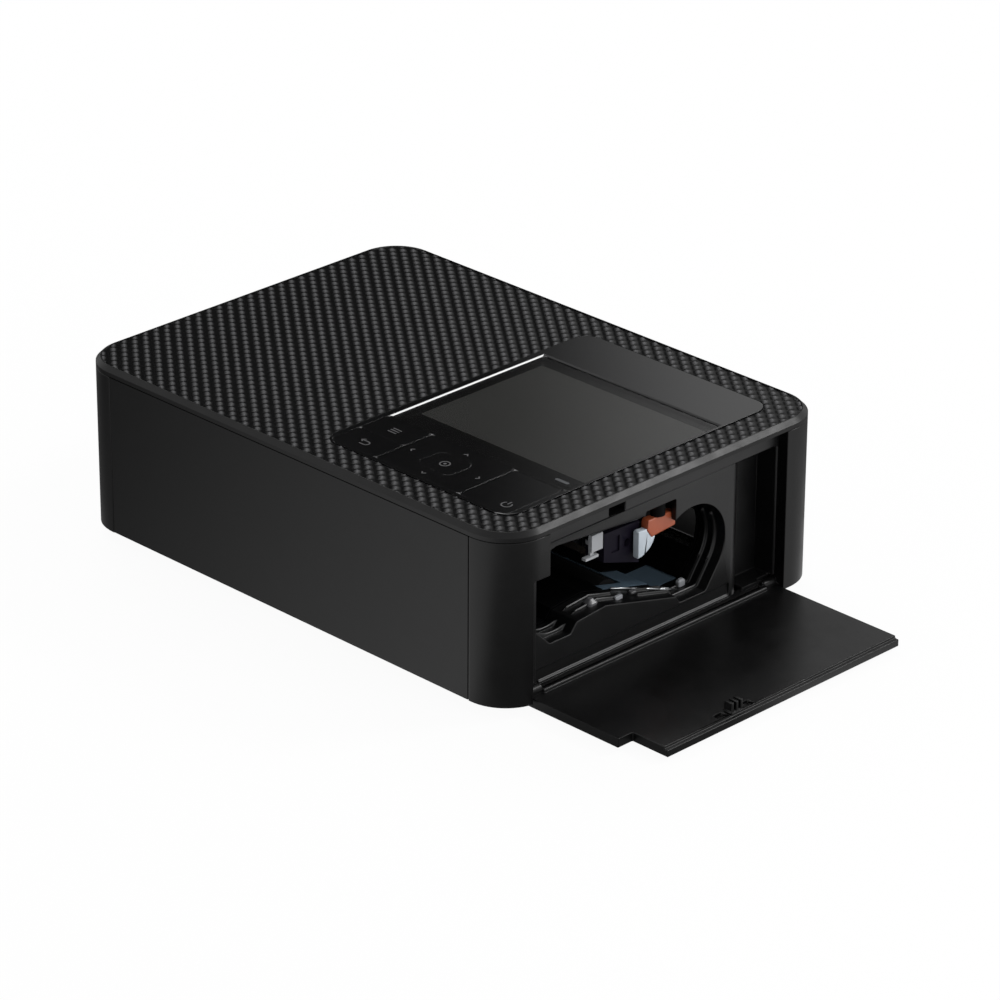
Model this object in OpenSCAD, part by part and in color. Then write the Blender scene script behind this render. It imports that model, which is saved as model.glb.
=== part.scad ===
// Compact photo printer with a hinged ribbon door, a hinged front flap and a tilting print head.
// Frame: X across the width (ribbon door on +X), Y front to back (front face on -Y), Z up.
// The origin is on the floor, at the centre of the body's footprint.

/* [Body] */
// Width of the body, side to side
body_w = 182.2; // [178:0.1:190]
// Depth of the body, front to back
body_d = 133; // [131:0.5:140]
// Height from the floor to the top face
body_h = 57.6; // [57:0.1:62]
// Radius of the four upright corners
corner_r = 14; // [12:0.5:16]
// Wall of the outer shell
wall = 2.4; // [2:0.1:2.8]
// Height of the feet below the shell
foot_h = 3.3; // [2.5:0.1:3.6]
// Radius of one rubber foot
foot_r = 6.5; // [5:0.5:8]
// Thickness of the bottom tray
base_t = 2.5; // [2:0.1:2.6]
// Thickness of the top cover
cover_t = 2.7; // [2.5:0.1:3]
// Bevel round the top cover
bevel = 1.4; // [0.8:0.1:1.8]
// Depth of the field that holds the woven relief of the top face
weave_depth = 0.4; // [0.2:0.05:0.5]
// Gap between neighbouring parts of the case
seam = 0.2; // [0.15:0.05:0.3]

/* [Control panel] */
// Width of the glossy panel
panel_w = 75.2; // [74:0.1:77]
// Depth of the glossy panel
panel_d = 109; // [106:0.5:112]
// Radius of the panel's corners
panel_r = 5.5; // [4:0.5:6]
// Distance from the panel's right edge to the body's right face
panel_edge = 11.7; // [10:0.1:13]
// Depth of the basin that holds the screen
basin_depth = 0.6; // [0.5:0.05:0.8]
// Width of the slope along the basin's left and back edges
basin_slope = 0.4; // [0.2:0.05:0.4]
// Length of the row of keys, front to back
keys_d = 24.4; // [22:0.1:25]
// Width of the four-way key
nav_w = 33.4; // [30:0.1:34]
// Width of the centre key
ok_w = 13.4; // [11:0.1:15]
// Depth of the centre key
ok_d = 10.8; // [9:0.1:12]
// Gap round each key
key_gap = 0.15; // [0.1:0.05:0.25]
// Travel of each key
key_travel = 0.4; // [0.2:0.1:0.4]

/* [Ribbon door] */
// Depth of the recess that the door closes
recess = 3.5; // [3.2:0.1:3.8]
// Distance from the body's front face to the recess
recess_front = 11.5; // [11:0.1:13]
// Distance from the body's back face to the recess
recess_back = 17.2; // [16:0.1:19]
// Thickness of the door
door_t = 2.9; // [2.5:0.1:3]
// Height of the door's hinge axis above the floor
door_axis_z = 5.4; // [5:0.1:5.6]
// Radius of the door's hinge pins
door_pin_r = 0.9; // [0.8:0.1:1]
// Radius of the bead along the door's hinge edge
door_bead_r = 0.8; // [0.6:0.1:0.9]
// Height of the catch ribs above the door's inner face
catch_h = 3.2; // [2:0.1:3.4]
// Length of the notch in the door's front corner, front to back
notch_len = 5.8; // [4:0.1:8]
// Height of the notch in the door's front corner
notch_h = 13.2; // [10:0.1:16]

/* [Front flap] */
// Width of the front flap
flap_w = 152; // [146:0.5:153]
// Thickness of the front flap
flap_t = 2.2; // [1.8:0.1:2.3]
// Width of the paper opening behind the flap
slot_w = 104; // [100:0.5:104]
// Height of the top of the paper opening
slot_top = 34; // [28:0.5:40]

/* [Ribbon bay] */
// Distance from the bay's front plate to the right side frame
mouth_len = 12.6; // [12.4:0.1:13.5]
// Distance between the two side frames
span = 105; // [104.5:0.1:106]
// Thickness of the steel side frames
frame_t = 1.2; // [1:0.1:1.5]
// Place of the take-up spool, from the middle of the body
takeup_y = 14.1; // [13:0.1:15]
// Height of the take-up spool
takeup_z = 27.1; // [26.5:0.1:28]
// Radius of the take-up lobe
lobe_r = 13.7; // [13:0.1:14]
// Place of the supply spool, from the middle of the body
supply_y = -39.5; // [-41:0.1:-39]
// Height of the supply spool
supply_z = 31; // [30:0.1:32]
// Radius of the spool hubs
hub_r = 5; // [4:0.1:6]
// Travel of the cassette release lever
lever_travel = 2.5; // [1.5:0.1:3]

/* [Paper drive] */
// Radius of the rubber platen roller
platen_r = 5.2; // [4.5:0.1:5.4]
// Radius of the steel feed roller
feed_r = 4; // [3.5:0.1:4.2]
// Radius of the pinch roller
pinch_r = 2.2; // [1.8:0.1:2.2]
// Radius of the rubber pick-up roller
pickup_r = 3.8; // [3.2:0.1:3.8]
// Radius of the roller shafts
shaft_r = 2; // [1.6:0.1:2.2]
// Module of the gear teeth
tooth_m = 0.6; // [0.58:0.01:0.62]
// Width of the gears
gear_w = 5; // [4:0.5:6]
// Radius of the drive motor
motor_r = 10; // [8:0.5:10.5]
// Length of the drive motor
motor_len = 22; // [16:0.5:24]

/* [Hidden] */
$fn = 64;

// Faces of the case
right_x = body_w / 2;
front_y = -body_d / 2;
back_y = body_d / 2;
cover_z = body_h - cover_t;
base_top = foot_h + base_t;
shell_top = cover_z - seam;

// Door recess and door
recess_x = right_x - recess;
recess_y1 = back_y - recess_back;
recess_y0 = front_y + recess_front;
block_y = recess_y0 + notch_len + 0.2;
block_z = cover_z - notch_h;
door_axis_x = right_x - door_t - 0.8;
door_gap = 0.4;
door_y0 = recess_y0 + door_gap + 0.3;
door_y1 = recess_y1 - door_gap;
door_bottom = door_axis_z - 0.9;
door_top = cover_z - 0.3;
knuckle_r = door_pin_r + 0.6;
knuckle_len = 5;
pin_play = 0.06;

// Catch of the door and the hole that it snaps into
catch_y = -18.6;
catch_hole_y0 = catch_y - 3.2;
catch_hole_y1 = catch_y + 3.2;
catch_hole_z0 = cover_z - 5.1;
catch_hole_z1 = cover_z - 1.5;

// Front flap
flap_axis_y = front_y + 1.5;
flap_axis_z = foot_h + 1.9;
flap_pin_r = 0.9;
flap_knuckle_len = 8;
frame_y = front_y + wall;

// Ribbon bay
mouth_x = recess_x - mouth_len;
left_x = mouth_x - span;
plate_t = 2.6;
plate_step = 0.7;
sleeve_t = 1.4;
head_room = 4.9;
frame_top = cover_z - head_room;
pocket_y0 = 36;
pocket_y1 = recess_y1 - 0.8;

// Print head
pivot_y = 25.5;
pivot_z = frame_top - 3;
pivot_r = 1.5;
head_top = frame_top - 9;
head_low0 = head_top - 9.2;
head_low1 = head_top - 13.9;

// Rollers and gears
platen_y = -6;
platen_z = 18.6 - platen_r;
path_z = 10.5;
teeth_takeup = 50;
teeth_idler = 38;
teeth_feed = 24;
teeth_pickup = 20;
teeth_pinion = 12;
function pitch_r(teeth) = tooth_m * teeth / 2;
feed_z = path_z + feed_r + 0.1;
feed_y = takeup_y + sqrt(pow(pitch_r(teeth_takeup) + pitch_r(teeth_feed), 2) - pow(takeup_z - feed_z, 2));
pinch_z = path_z - pinch_r - 0.05;
pickup_y = -27.5;
pickup_z = 19.2 - pickup_r;
// Centre of a gear that meshes with two others at known centres
link = [pickup_y - takeup_y, pickup_z - takeup_z];
link_len = norm(link);
idler_a = (pow(pitch_r(teeth_takeup) + pitch_r(teeth_idler), 2)
    - pow(pitch_r(teeth_idler) + pitch_r(teeth_pickup), 2) + pow(link_len, 2)) / (2 * link_len);
idler_h = sqrt(pow(pitch_r(teeth_takeup) + pitch_r(teeth_idler), 2) - pow(idler_a, 2));
idler_y = takeup_y + (idler_a * link[0] + idler_h * link[1]) / link_len;
idler_z = takeup_z + (idler_a * link[1] - idler_h * link[0]) / link_len;
pinion_angle = 110;
pinion_y = idler_y + (pitch_r(teeth_idler) + pitch_r(teeth_pinion)) * cos(pinion_angle);
pinion_z = idler_z + (pitch_r(teeth_idler) + pitch_r(teeth_pinion)) * sin(pinion_angle);
gear_x = left_x - frame_t - 2 - gear_w;
gear_plate_x = gear_x - 1.2 - frame_t;

// Main board on the left
board_t = 1.6;
board_z = base_top + 2;
board_top = board_z + board_t;
board_x0 = -right_x + wall + 1.5;
board_x1 = gear_plate_x - 2;
board_y1 = back_y - wall - 1;
board_y0 = -back_y + wall + 9;

// Control panel
panel_x1 = right_x - panel_edge;
panel_x0 = panel_x1 - panel_w;
panel_top = body_h - 0.1;
panel_bottom = cover_z + 0.5;
panel_y0 = -panel_d / 2;
basin_y0 = panel_y0 + keys_d + 0.2;
basin_y1 = basin_y0 + 63.8;
basin_x0 = panel_x0 + 2.6;
basin_x1 = panel_x1 - 0.8;
glass_top = panel_top - basin_depth;
glass_t = 0.8;
view_x0 = basin_x0 + 2.6;
view_x1 = basin_x1 - 1.2;
view_y0 = basin_y0 + 9.4;
view_y1 = basin_y1 - 3.8;
keys_y0 = panel_y0 + 1.6;
keys_y1 = panel_y0 + keys_d - 0.4;
keys_split = (keys_y0 + keys_y1) / 2;
nav_x0 = panel_x0 + 20.6;
nav_x1 = nav_x0 + nav_w;
nav_cx = (nav_x0 + nav_x1) / 2;
nav_cy = keys_split;
key_bottom = panel_bottom + 0.2;
key_top = panel_top - 0.1;
key_board_top = cover_z - 2.5;
post_r = 1.4;
post_out = 0.9;
dome_h = 0.7;
stem_bottom = key_board_top + dome_h + key_travel + 0.1;

case_black = [0.06, 0.06, 0.065];
gloss_black = [0.02, 0.02, 0.025];
inner_black = [0.09, 0.09, 0.1];
steel = [0.62, 0.64, 0.66];
dark_steel = [0.32, 0.34, 0.38];
rubber_grey = [0.12, 0.12, 0.13];
nylon = [0.85, 0.88, 0.9];
orange = [0.85, 0.32, 0.18];
board_green = [0.06, 0.3, 0.16];
connector = [0.5, 0.5, 0.52];

// A flat outline with width along X, depth along Y and round corners
module round_rect(w, d, r) {
    square([w, d - 2 * r], center = true);
    square([w - 2 * r, d], center = true);
    for (sx = [-1, 1], sy = [-1, 1])
        translate([sx * (w / 2 - r), sy * (d / 2 - r)]) circle(r = r);
}

// The same outline given by its edges
module round_span(x0, x1, y0, y1, r) {
    translate([(x0 + x1) / 2, (y0 + y1) / 2]) round_rect(x1 - x0, y1 - y0, r);
}

// A block given by its edges
module block(x0, x1, y0, y1, z0, z1) {
    translate([x0, y0, z0]) cube([x1 - x0, y1 - y0, z1 - z0]);
}

// An upright slab of a flat outline
module slab(z0, z1) {
    translate([0, 0, z0]) linear_extrude(height = z1 - z0) children();
}

// A profile drawn in Y and Z, run along X
module along_x(x0, x1) {
    translate([x0, 0, 0]) rotate([90, 0, 90]) linear_extrude(height = x1 - x0) children();
}

// A rod along X
module rod(x0, x1, y, z, r) {
    translate([x0, y, z]) rotate([0, 90, 0]) cylinder(r = r, h = x1 - x0);
}

// A rod along Y
module rod_y(y0, y1, x, z, r) {
    translate([x, y0, z]) rotate([-90, 0, 0]) cylinder(r = r, h = y1 - y0);
}

// A slab with round corners whose top edge is bevelled
module bevelled_slab(w, d, r, z0, z1, b) {
    slab(z0, z1 - b) round_rect(w, d, r);
    for (turn = [0, 90]) {
        long = turn == 0 ? w : d;
        short = turn == 0 ? d : w;
        rotate([90, 0, 90 - turn]) translate([0, 0, -long / 2 + r]) linear_extrude(height = long - 2 * r)
            polygon([[-short / 2, z1 - b], [short / 2, z1 - b], [short / 2 - b, z1], [b - short / 2, z1]]);
    }
    for (sx = [-1, 1], sy = [-1, 1])
        translate([sx * (w / 2 - r), sy * (d / 2 - r), z1 - b]) cylinder(r1 = r, r2 = r - b, h = b);
}

// Outline points moved outward by a distance, for points that run clockwise
function cross2(a, b) = a[0] * b[1] - a[1] * b[0];
function unit(v) = v / norm(v);
function left_of(v) = [-v[1], v[0]];
function moved_corner(p0, p1, p2, g) =
    let (a = unit(p1 - p0), b = unit(p2 - p1), na = left_of(a) * g, nb = left_of(b) * g)
    abs(cross2(a, b)) < 0.01 ? p1 + na : p1 + na + a * cross2(nb - na, b) / cross2(a, b);
function grown(pts, g) = [for (i = [0 : len(pts) - 1])
    moved_corner(pts[(i + len(pts) - 1) % len(pts)], pts[i], pts[(i + 1) % len(pts)], g)];

// Mouth of the ribbon bay in Y and Z, clockwise as seen from the right
lobe_foot = [20, 11.8];
lobe_reach = norm(lobe_foot - [takeup_y, takeup_z]);
lobe_turn = atan2(lobe_foot[1] - takeup_z, lobe_foot[0] - takeup_y) + acos(lobe_r / lobe_reach);
lobe_touch = [takeup_y + lobe_r * cos(lobe_turn), takeup_z + lobe_r * sin(lobe_turn)];
mouth_y0 = recess_y0 + 4.1;
function mouth_points(notch_end) = [[mouth_y0, frame_top - 10.9], [-45.7, frame_top - 10.9],
    [-45.7, frame_top - 5.6], [-45.2, frame_top - 4.1], [-44.1, frame_top - 3.2], [-42.6, frame_top - 2.9],
    [-9.5, frame_top - 5.6], [-5.7, frame_top - 5.6], [-5.7, frame_top - 4.4],
    [notch_end, frame_top - 4.4], [notch_end, frame_top - 14], [takeup_y, takeup_z],
    lobe_touch, lobe_foot, [9.1, 11.8], [7.7, 14.1], [-21.8, 21.6], [-33.6, 20.6], [-36.2, 17.5],
    [-44.5, 17.5], [mouth_y0, 23.5]];
plate_notch = 6.6;
lever_notch = 9;

module mouth(g = 0, notch_end = plate_notch) {
    polygon(grown(mouth_points(notch_end), g));
    translate([takeup_y, takeup_z]) circle(r = lobe_r + g);
}

// A spur gear outline round the origin, with one tooth at the given angle
module gear_outline(teeth, start) {
    r = pitch_r(teeth);
    step = 360 / teeth;
    tip = r + 0.8 * tooth_m;
    root = r - tooth_m;
    polygon([for (i = [0 : teeth - 1], c = [[root, -0.28], [tip, -0.1], [tip, 0.1], [root, 0.28]])
        [c[0] * cos(start + (i + c[1]) * step), c[0] * sin(start + (i + c[1]) * step)]]);
}

// Angle of a gear that meshes with another one
function mesh_angle(from_y, from_z, to_y, to_z, from_start, from_teeth, to_teeth) =
    let (dir = atan2(to_z - from_z, to_y - from_y))
    dir + 180 - 180 / to_teeth + (dir - from_start) * from_teeth / to_teeth;
idler_start = 0;
takeup_start = mesh_angle(idler_y, idler_z, takeup_y, takeup_z, idler_start, teeth_idler, teeth_takeup);
pickup_start = mesh_angle(idler_y, idler_z, pickup_y, pickup_z, idler_start, teeth_idler, teeth_pickup);
pinion_start = mesh_angle(idler_y, idler_z, pinion_y, pinion_z, idler_start, teeth_idler, teeth_pinion);
feed_start = mesh_angle(takeup_y, takeup_z, feed_y, feed_z, takeup_start, teeth_takeup, teeth_feed);

// A gear with a round bore
module gear(teeth, start, y, z, bore) {
    along_x(gear_x, gear_x + gear_w) difference() {
        translate([y, z]) gear_outline(teeth, start);
        translate([y, z]) circle(r = bore);
    }
}

// ---- Case ----

foot_in_x = 19.1;
foot_in_y = 18.5;
foot_places = [for (sy = [-1, 1], sx = [-1, 1]) [sx * (right_x - foot_in_x), sy * (back_y - foot_in_y)]];
screw_places = [[-right_x + 11.1, front_y + 24], [right_x - 11.1, front_y + 7.6],
    [-right_x + 11.1, back_y - 36.5], [right_x - 13.1, back_y - 6.9]];
boss_r = 2.8;
boss_h = 12;

module base_tray() color(case_black) difference() {
    slab(foot_h, base_top)
        round_rect(body_w - 2 * wall - 2 * seam, body_d - 2 * wall - 2 * seam, corner_r - wall - seam);
    // Room for the flap and the door to swing
    block(-flap_w / 2 - 5.2, flap_w / 2 + 5.2, front_y, frame_y + 2.2, foot_h - 1, base_top + 1);
    block(right_x - 6.2, right_x, recess_y0 - 2.6, recess_y1 + 2.8, foot_h - 1, base_top + 1);
    for (p = foot_places) translate([p[0], p[1], foot_h - 1]) cylinder(r = foot_r + 0.1, h = 1.8);
    for (p = screw_places) translate([p[0], p[1], foot_h - 1]) {
        cylinder(r = 1.6, h = base_t + 2);
        cylinder(r = 2.9, h = 2.2);
    }
    // Air slots under the main board
    for (i = [0 : 6]) slab(foot_h - 1, base_top + 1) translate([-60, -30 + 6 * i]) round_rect(22, 2.4, 1.1);
}

module rubber_feet() color(rubber_grey)
    for (p = foot_places) translate([p[0], p[1], 0]) {
        cylinder(r1 = foot_r - 0.6, r2 = foot_r, h = 0.6);
        translate([0, 0, 0.6]) cylinder(r = foot_r, h = foot_h + 0.2);
    }

module base_screws() color(steel)
    for (p = screw_places) translate([p[0], p[1], foot_h]) difference() {
        union() {
            translate([0, 0, 0.2]) cylinder(r = 2.7, h = 1);
            translate([0, 0, 1.1]) cylinder(r = 1.25, h = 8);
        }
        for (turn = [0, 90]) rotate([0, 0, turn]) translate([-1.6, -0.3, -0.1]) cube([3.2, 0.6, 0.8]);
    }

module body_outline(inset = 0) {
    round_rect(body_w - 2 * inset, body_d - 2 * inset, corner_r - inset);
}

weave_rim = 0.3;
// Ledge under the rim of the control panel
ledge = 1;
vent_count = 9;
vent_pitch = 4;
vent_w = 1.8;
vent_z0 = 27;
vent_z1 = 46;
back_vent_x = -right_x + 17;
side_vent_y = 22;
rear_slot_z0 = path_z - 2.2;
rear_slot_z1 = path_z + 5;
slot_x1 = mouth_x - 1;
slot_x0 = slot_x1 - slot_w;
jack_x = board_x0 + 15;
usb_c_x = board_x0 + 31;
usb_a_y = 10;
card_y = -20;
card_w = 26;

module body_shell() color(case_black) difference() {
    union() {
        difference() {
            slab(foot_h, shell_top) body_outline();
            slab(foot_h - 1, shell_top + 1) body_outline(wall);
        }
        // Front plate behind the flap
        intersection() {
            slab(foot_h, shell_top) body_outline(0.5);
            union() {
                block(-flap_w / 2 - 3, flap_w / 2 + 3, frame_y, frame_y + 2, flap_axis_z + 2.2, shell_top);
                for (x = [-flap_w / 2 - 2.5, flap_w / 2 + 2.5])
                    block(x - 2.3, x + 2.3, front_y, frame_y + 2, foot_h, shell_top);
            }
        }
        // Ends of the door recess
        intersection() {
            slab(foot_h, shell_top) body_outline(0.5);
            union() {
                block(recess_x + 0.05, right_x, recess_y0 - 2.2, block_y, foot_h, shell_top);
                block(recess_x + 0.05, right_x, recess_y1, recess_y1 + 2.5, foot_h, shell_top);
                for (y = [recess_y0 - 2.2, recess_y1])
                    block(door_axis_x - 2.2, right_x, y, y + 2.2, foot_h, door_axis_z + 2);
            }
        }
        // Screw bosses
        for (p = screw_places) translate([p[0], p[1], base_top]) cylinder(r = boss_r, h = boss_h);
        for (p = [screw_places[0], screw_places[2]])
            block(-right_x + 1, p[0], p[1] - 0.8, p[1] + 0.8, base_top, board_z - 0.3);
        block(screw_places[3][0] - 0.8, screw_places[3][0] + 0.8, screw_places[3][1], back_y - 1,
            base_top, base_top + boss_h);
        block(screw_places[1][0] - 0.8, screw_places[1][0] + 0.8, front_y + 1, screw_places[1][1],
            base_top, base_top + boss_h);
    }
    for (p = screw_places) translate([p[0], p[1], base_top - 1]) cylinder(r = 1.35, h = 10.5);
    // Window of the front flap
    block(-flap_w / 2 - seam, flap_w / 2 + seam, front_y - 1, frame_y - 0.02, flap_axis_z + 2, shell_top + 1);
    block(-flap_w / 2 - seam, flap_w / 2 + seam, front_y - 1, frame_y + 0.1, foot_h - 1, flap_axis_z + 2.1);
    // Paper opening
    block(slot_x0, slot_x1, frame_y - 1, frame_y + 4, foot_h, slot_top);
    // Window of the ribbon door, with the flush block left at its front top corner
    block(recess_x, right_x + 1, block_y, recess_y1, foot_h - 1, shell_top + 1);
    block(recess_x, right_x + 1, recess_y0, block_y + 0.01, foot_h - 1, block_z);
    block(door_axis_x - 3, right_x + 1, recess_y0, recess_y1, foot_h - 1, door_axis_z + 3);
    // Seats of the hinge pins
    rod_y(recess_y0 - 2.4, recess_y1 + 2.6, door_axis_x, door_axis_z, door_pin_r + 0.02);
    rod(-flap_w / 2 - 3.5, flap_w / 2 + 3.5, flap_axis_y, flap_axis_z, flap_pin_r + 0.02);
    // Rear paper slot and air slots
    block(slot_x0, slot_x1, back_y - wall - 1, back_y + 1, rear_slot_z0, rear_slot_z1);
    for (i = [0 : vent_count - 1]) {
        x = back_vent_x + vent_pitch * i;
        y = side_vent_y + vent_pitch * i;
        block(x, x + vent_w, back_y - wall - 1, back_y + 1, vent_z0, vent_z1);
        block(-right_x - 1, -right_x + wall + 1, y, y + vent_w, vent_z0, vent_z1);
    }
    // Power inlet and sockets
    translate([jack_x, back_y + 1, board_top + 5]) rotate([90, 0, 0]) cylinder(r = 4.3, h = wall + 2);
    block(usb_c_x - 4.8, usb_c_x + 4.8, back_y - wall - 1, back_y + 1, board_top - 0.2, board_top + 3.6);
    block(-right_x - 1, -right_x + wall + 1, usb_a_y - 6.8, usb_a_y + 6.8, board_top - 0.1, board_top + 6);
    block(-right_x - 1, -right_x + wall + 1, card_y - card_w / 2, card_y + card_w / 2,
        board_top - 0.1, board_top + 3.1);
}

module top_cover() color(case_black) {
    difference() {
        bevelled_slab(body_w, body_d, corner_r, cover_z, body_h, bevel);
        slab(panel_bottom, body_h + 1)
            round_span(panel_x0 - seam, panel_x1 + seam, panel_y0 - seam, -panel_y0 + seam, panel_r + seam);
        slab(cover_z - 1, panel_bottom + 1)
            round_span(panel_x0 + ledge, panel_x1 - ledge, panel_y0 + ledge, -panel_y0 - ledge,
                panel_r - 2.5);
        // Field of the woven relief, inside a narrow rim
        slab(body_h - weave_depth, body_h + 1) body_outline(bevel + weave_rim);
    }
    // Lip inside the left and back walls
    lip = wall + seam;
    block(-corner_r - 60, right_x - 40, back_y - lip - 1.4, back_y - lip, cover_z - 3, cover_z);
    block(-right_x + lip, -right_x + lip + 1.4, -40, 40, cover_z - 3, cover_z);
    // Posts at the ends of the key board
    for (x = [panel_x0 - post_out, panel_x1 + post_out])
        translate([x, keys_split, key_board_top]) cylinder(r = post_r, h = cover_z - key_board_top + 0.1);
}

module front_flap() color(case_black) difference() {
    union() {
        block(-flap_w / 2, flap_w / 2, front_y, front_y + flap_t, foot_h + 0.3, shell_top - 0.1);
        for (s = [-1, 1]) {
            inner = s * (flap_w / 2 - flap_knuckle_len);
            outer = s * flap_w / 2;
            rod(min(inner, outer), max(inner, outer), flap_axis_y, flap_axis_z, flap_axis_y - front_y);
        }
        // Stiffening ribs on the inside, clear of the front plate
        for (s = [-1, 1]) block(s * 60 - 0.6, s * 60 + 0.6, front_y + flap_t - 0.1, frame_y - 0.05, 12, 50);
    }
    for (s = [-1, 1])
        rod(s * flap_w / 2 - flap_knuckle_len - 0.5, s * flap_w / 2 + flap_knuckle_len + 0.5,
            flap_axis_y, flap_axis_z, flap_pin_r + pin_play);
}

module flap_hinge_pins() color(steel)
    for (s = [-1, 1]) {
        inner = s * (flap_w / 2 - flap_knuckle_len);
        outer = s * (flap_w / 2 + 3.2);
        rod(min(inner, outer), max(inner, outer), flap_axis_y, flap_axis_z, flap_pin_r);
    }

// ---- Ribbon door ----

// Height above the axis of a shut door becomes reach away from the body when it is open
door_open_x = door_axis_x - door_axis_z;
door_under = door_axis_z - (right_x - door_axis_x);
door_face = door_under + door_t;
bead_x = door_axis_x + 1.5;
bead_z = door_face + 0.3;
rib_pitch = 1.87;
door_end_x = door_open_x + door_top;

module ribbon_door() color(case_black) difference() {
    union() {
        difference() {
            block(door_open_x + door_bottom, door_end_x, door_y0, door_y1, door_under, door_face);
            // Notch that clears the flush block
            block(door_open_x + block_z - 0.4, door_end_x + 1, door_y0 - 1, block_y + 0.5,
                door_under - 1, door_face + 1);
            // Rebate round the inner edge
            block(door_end_x - 1.3, door_end_x + 1, door_y0 - 1, door_y1 + 1,
                door_face - 0.8, door_face + 1);
        }
        for (y = [door_y0, door_y1 - knuckle_len]) {
            rod_y(y, y + knuckle_len, door_axis_x, door_axis_z, knuckle_r);
            block(door_axis_x - 0.4, door_axis_x + knuckle_r, y, y + knuckle_len,
                door_face - 0.2, door_axis_z);
        }
        // Bead between the knuckles
        rod_y(door_y0 + knuckle_len - 0.1, door_y1 - knuckle_len + 0.1, bead_x, bead_z, door_bead_r);
        // Catch: three ribs beside each other with a small hook
        for (i = [-1 : 1])
            block(door_end_x - 4.4, door_end_x - 1.4, catch_y + rib_pitch * i - 0.5,
                catch_y + rib_pitch * i + 0.5, door_face - 0.2, door_face + catch_h);
        block(door_end_x - 5, door_end_x - 1.4, catch_y - 2.4, catch_y + 2.4,
            door_face - 0.2, door_face + 0.5);
    }
    for (y = [door_y0 - 1, door_y1 - knuckle_len - 1])
        rod_y(y, y + knuckle_len + 2, door_axis_x, door_axis_z, door_pin_r + pin_play);
    // Pockets beside the catch
    for (y = [catch_y - 5.4, catch_y + 5.4])
        block(door_end_x - 4.2, door_end_x - 1.6, y - 1.8, y + 1.8, door_face - 1, door_face + 1);
}

module door_hinge_pins() color(steel) {
    rod_y(recess_y0 - 2, door_y0 + knuckle_len - 1, door_axis_x, door_axis_z, door_pin_r);
    rod_y(door_y1 - knuckle_len + 1, recess_y1 + 2, door_axis_x, door_axis_z, door_pin_r);
}

// ---- Control panel ----

module key_outline(x0, x1, y0, y1, r, grow = 0) {
    round_span(x0 - grow, x1 + grow, y0 - grow, y1 + grow, r + grow);
}
module menu_key(grow = 0) { key_outline(panel_x0 + 2, nav_x0 - 0.5, keys_split + 0.3, keys_y1, 1, grow); }
module back_key(grow = 0) { key_outline(panel_x0 + 2, nav_x0 - 0.5, keys_y0, keys_split - 0.3, 1, grow); }
module nav_key(grow = 0) { key_outline(nav_x0, nav_x1, keys_y0, keys_y1, 1, grow); }
module ok_key(grow = 0) {
    key_outline(nav_cx - ok_w / 2, nav_cx + ok_w / 2, nav_cy - ok_d / 2, nav_cy + ok_d / 2, 2.4, grow);
}
module power_key(grow = 0) { key_outline(nav_x1 + 0.6, panel_x1 - 2, keys_y0, keys_y1, 1, grow); }
module light_slot(grow = 0) {
    key_outline(panel_x1 - 9.8, panel_x1 - 4.6, basin_y0 + 4, basin_y0 + 5.2, 0.5, grow);
}

board_posts = [for (x = [panel_x0 + 4, panel_x1 - 4]) [x, basin_y0 + 2.4]];

module control_panel() color(gloss_black) difference() {
    union() {
        slab(panel_bottom, panel_top) round_span(panel_x0, panel_x1, panel_y0, -panel_y0, panel_r);
        for (p = board_posts)
            translate([p[0], p[1], key_board_top])
                cylinder(r = post_r, h = panel_bottom - key_board_top + 0.2);
    }
    slab(glass_top - glass_t, panel_top + 1) round_span(basin_x0, basin_x1, basin_y0, basin_y1, 1.2);
    // Sloped left and back edges of the basin
    translate([0, basin_y1, 0]) rotate([90, 0, 0]) linear_extrude(height = basin_y1 - basin_y0)
        polygon([[basin_x0 - basin_slope, panel_top + 0.01], [basin_x0 + 1.2, panel_top + 0.01],
            [basin_x0 + 1.2, panel_top - basin_slope], [basin_x0, panel_top - basin_slope]]);
    along_x(basin_x0, basin_x1)
        polygon([[basin_y1 + basin_slope, panel_top + 0.01], [basin_y1 - 1.2, panel_top + 0.01],
            [basin_y1 - 1.2, panel_top - basin_slope], [basin_y1, panel_top - basin_slope]]);
    slab(panel_bottom - 1, panel_top) round_span(view_x0, view_x1, view_y0, view_y1, 0.8);
    slab(panel_bottom - 1, panel_top) light_slot(0.1);
    slab(panel_bottom - 1, panel_top + 1) {
        menu_key(key_gap);
        back_key(key_gap);
        nav_key(key_gap);
        power_key(key_gap);
    }
}

module screen_glass() color([0.03, 0.03, 0.04]) difference() {
    slab(glass_top - glass_t, glass_top)
        round_span(basin_x0 + 0.1, basin_x1 - 0.1, basin_y0 + 0.1, basin_y1 - 0.1, 1.1);
    slab(glass_top - glass_t - 1, glass_top + 1) light_slot(0.1);
}

module lcd_module() color([0.16, 0.16, 0.18]) {
    block(view_x0 - 1.6, view_x1 + 1, view_y0 - 2, view_y1 + 1.4, panel_bottom - 4, panel_bottom - 0.1);
    slab(panel_bottom - 0.2, glass_top - glass_t - 0.1)
        round_span(view_x0 + 0.1, view_x1 - 0.1, view_y0 + 0.1, view_y1 - 0.1, 0.7);
}

// Stem that reaches from a key cap to its switch
module key_stem(p) translate([p[0], p[1], stem_bottom])
    cylinder(r = 1.2, h = key_bottom - stem_bottom + 0.1);

module key(p) {
    slab(key_bottom, key_top) children();
    key_stem(p);
}

menu_at = [(panel_x0 + nav_x0) / 2 + 0.75, (keys_split + keys_y1) / 2];
back_at = [menu_at[0], (keys_split + keys_y0) / 2];
power_at = [panel_x1 - 6.4, keys_y0 + 5];
ok_at = [nav_cx, nav_cy];
nav_places = [[nav_cx - 12, nav_cy], [nav_cx + 12, nav_cy], [nav_cx, nav_cy - 8.6], [nav_cx, nav_cy + 8.6]];
switch_places = concat([menu_at, back_at, power_at, ok_at], nav_places);

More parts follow.
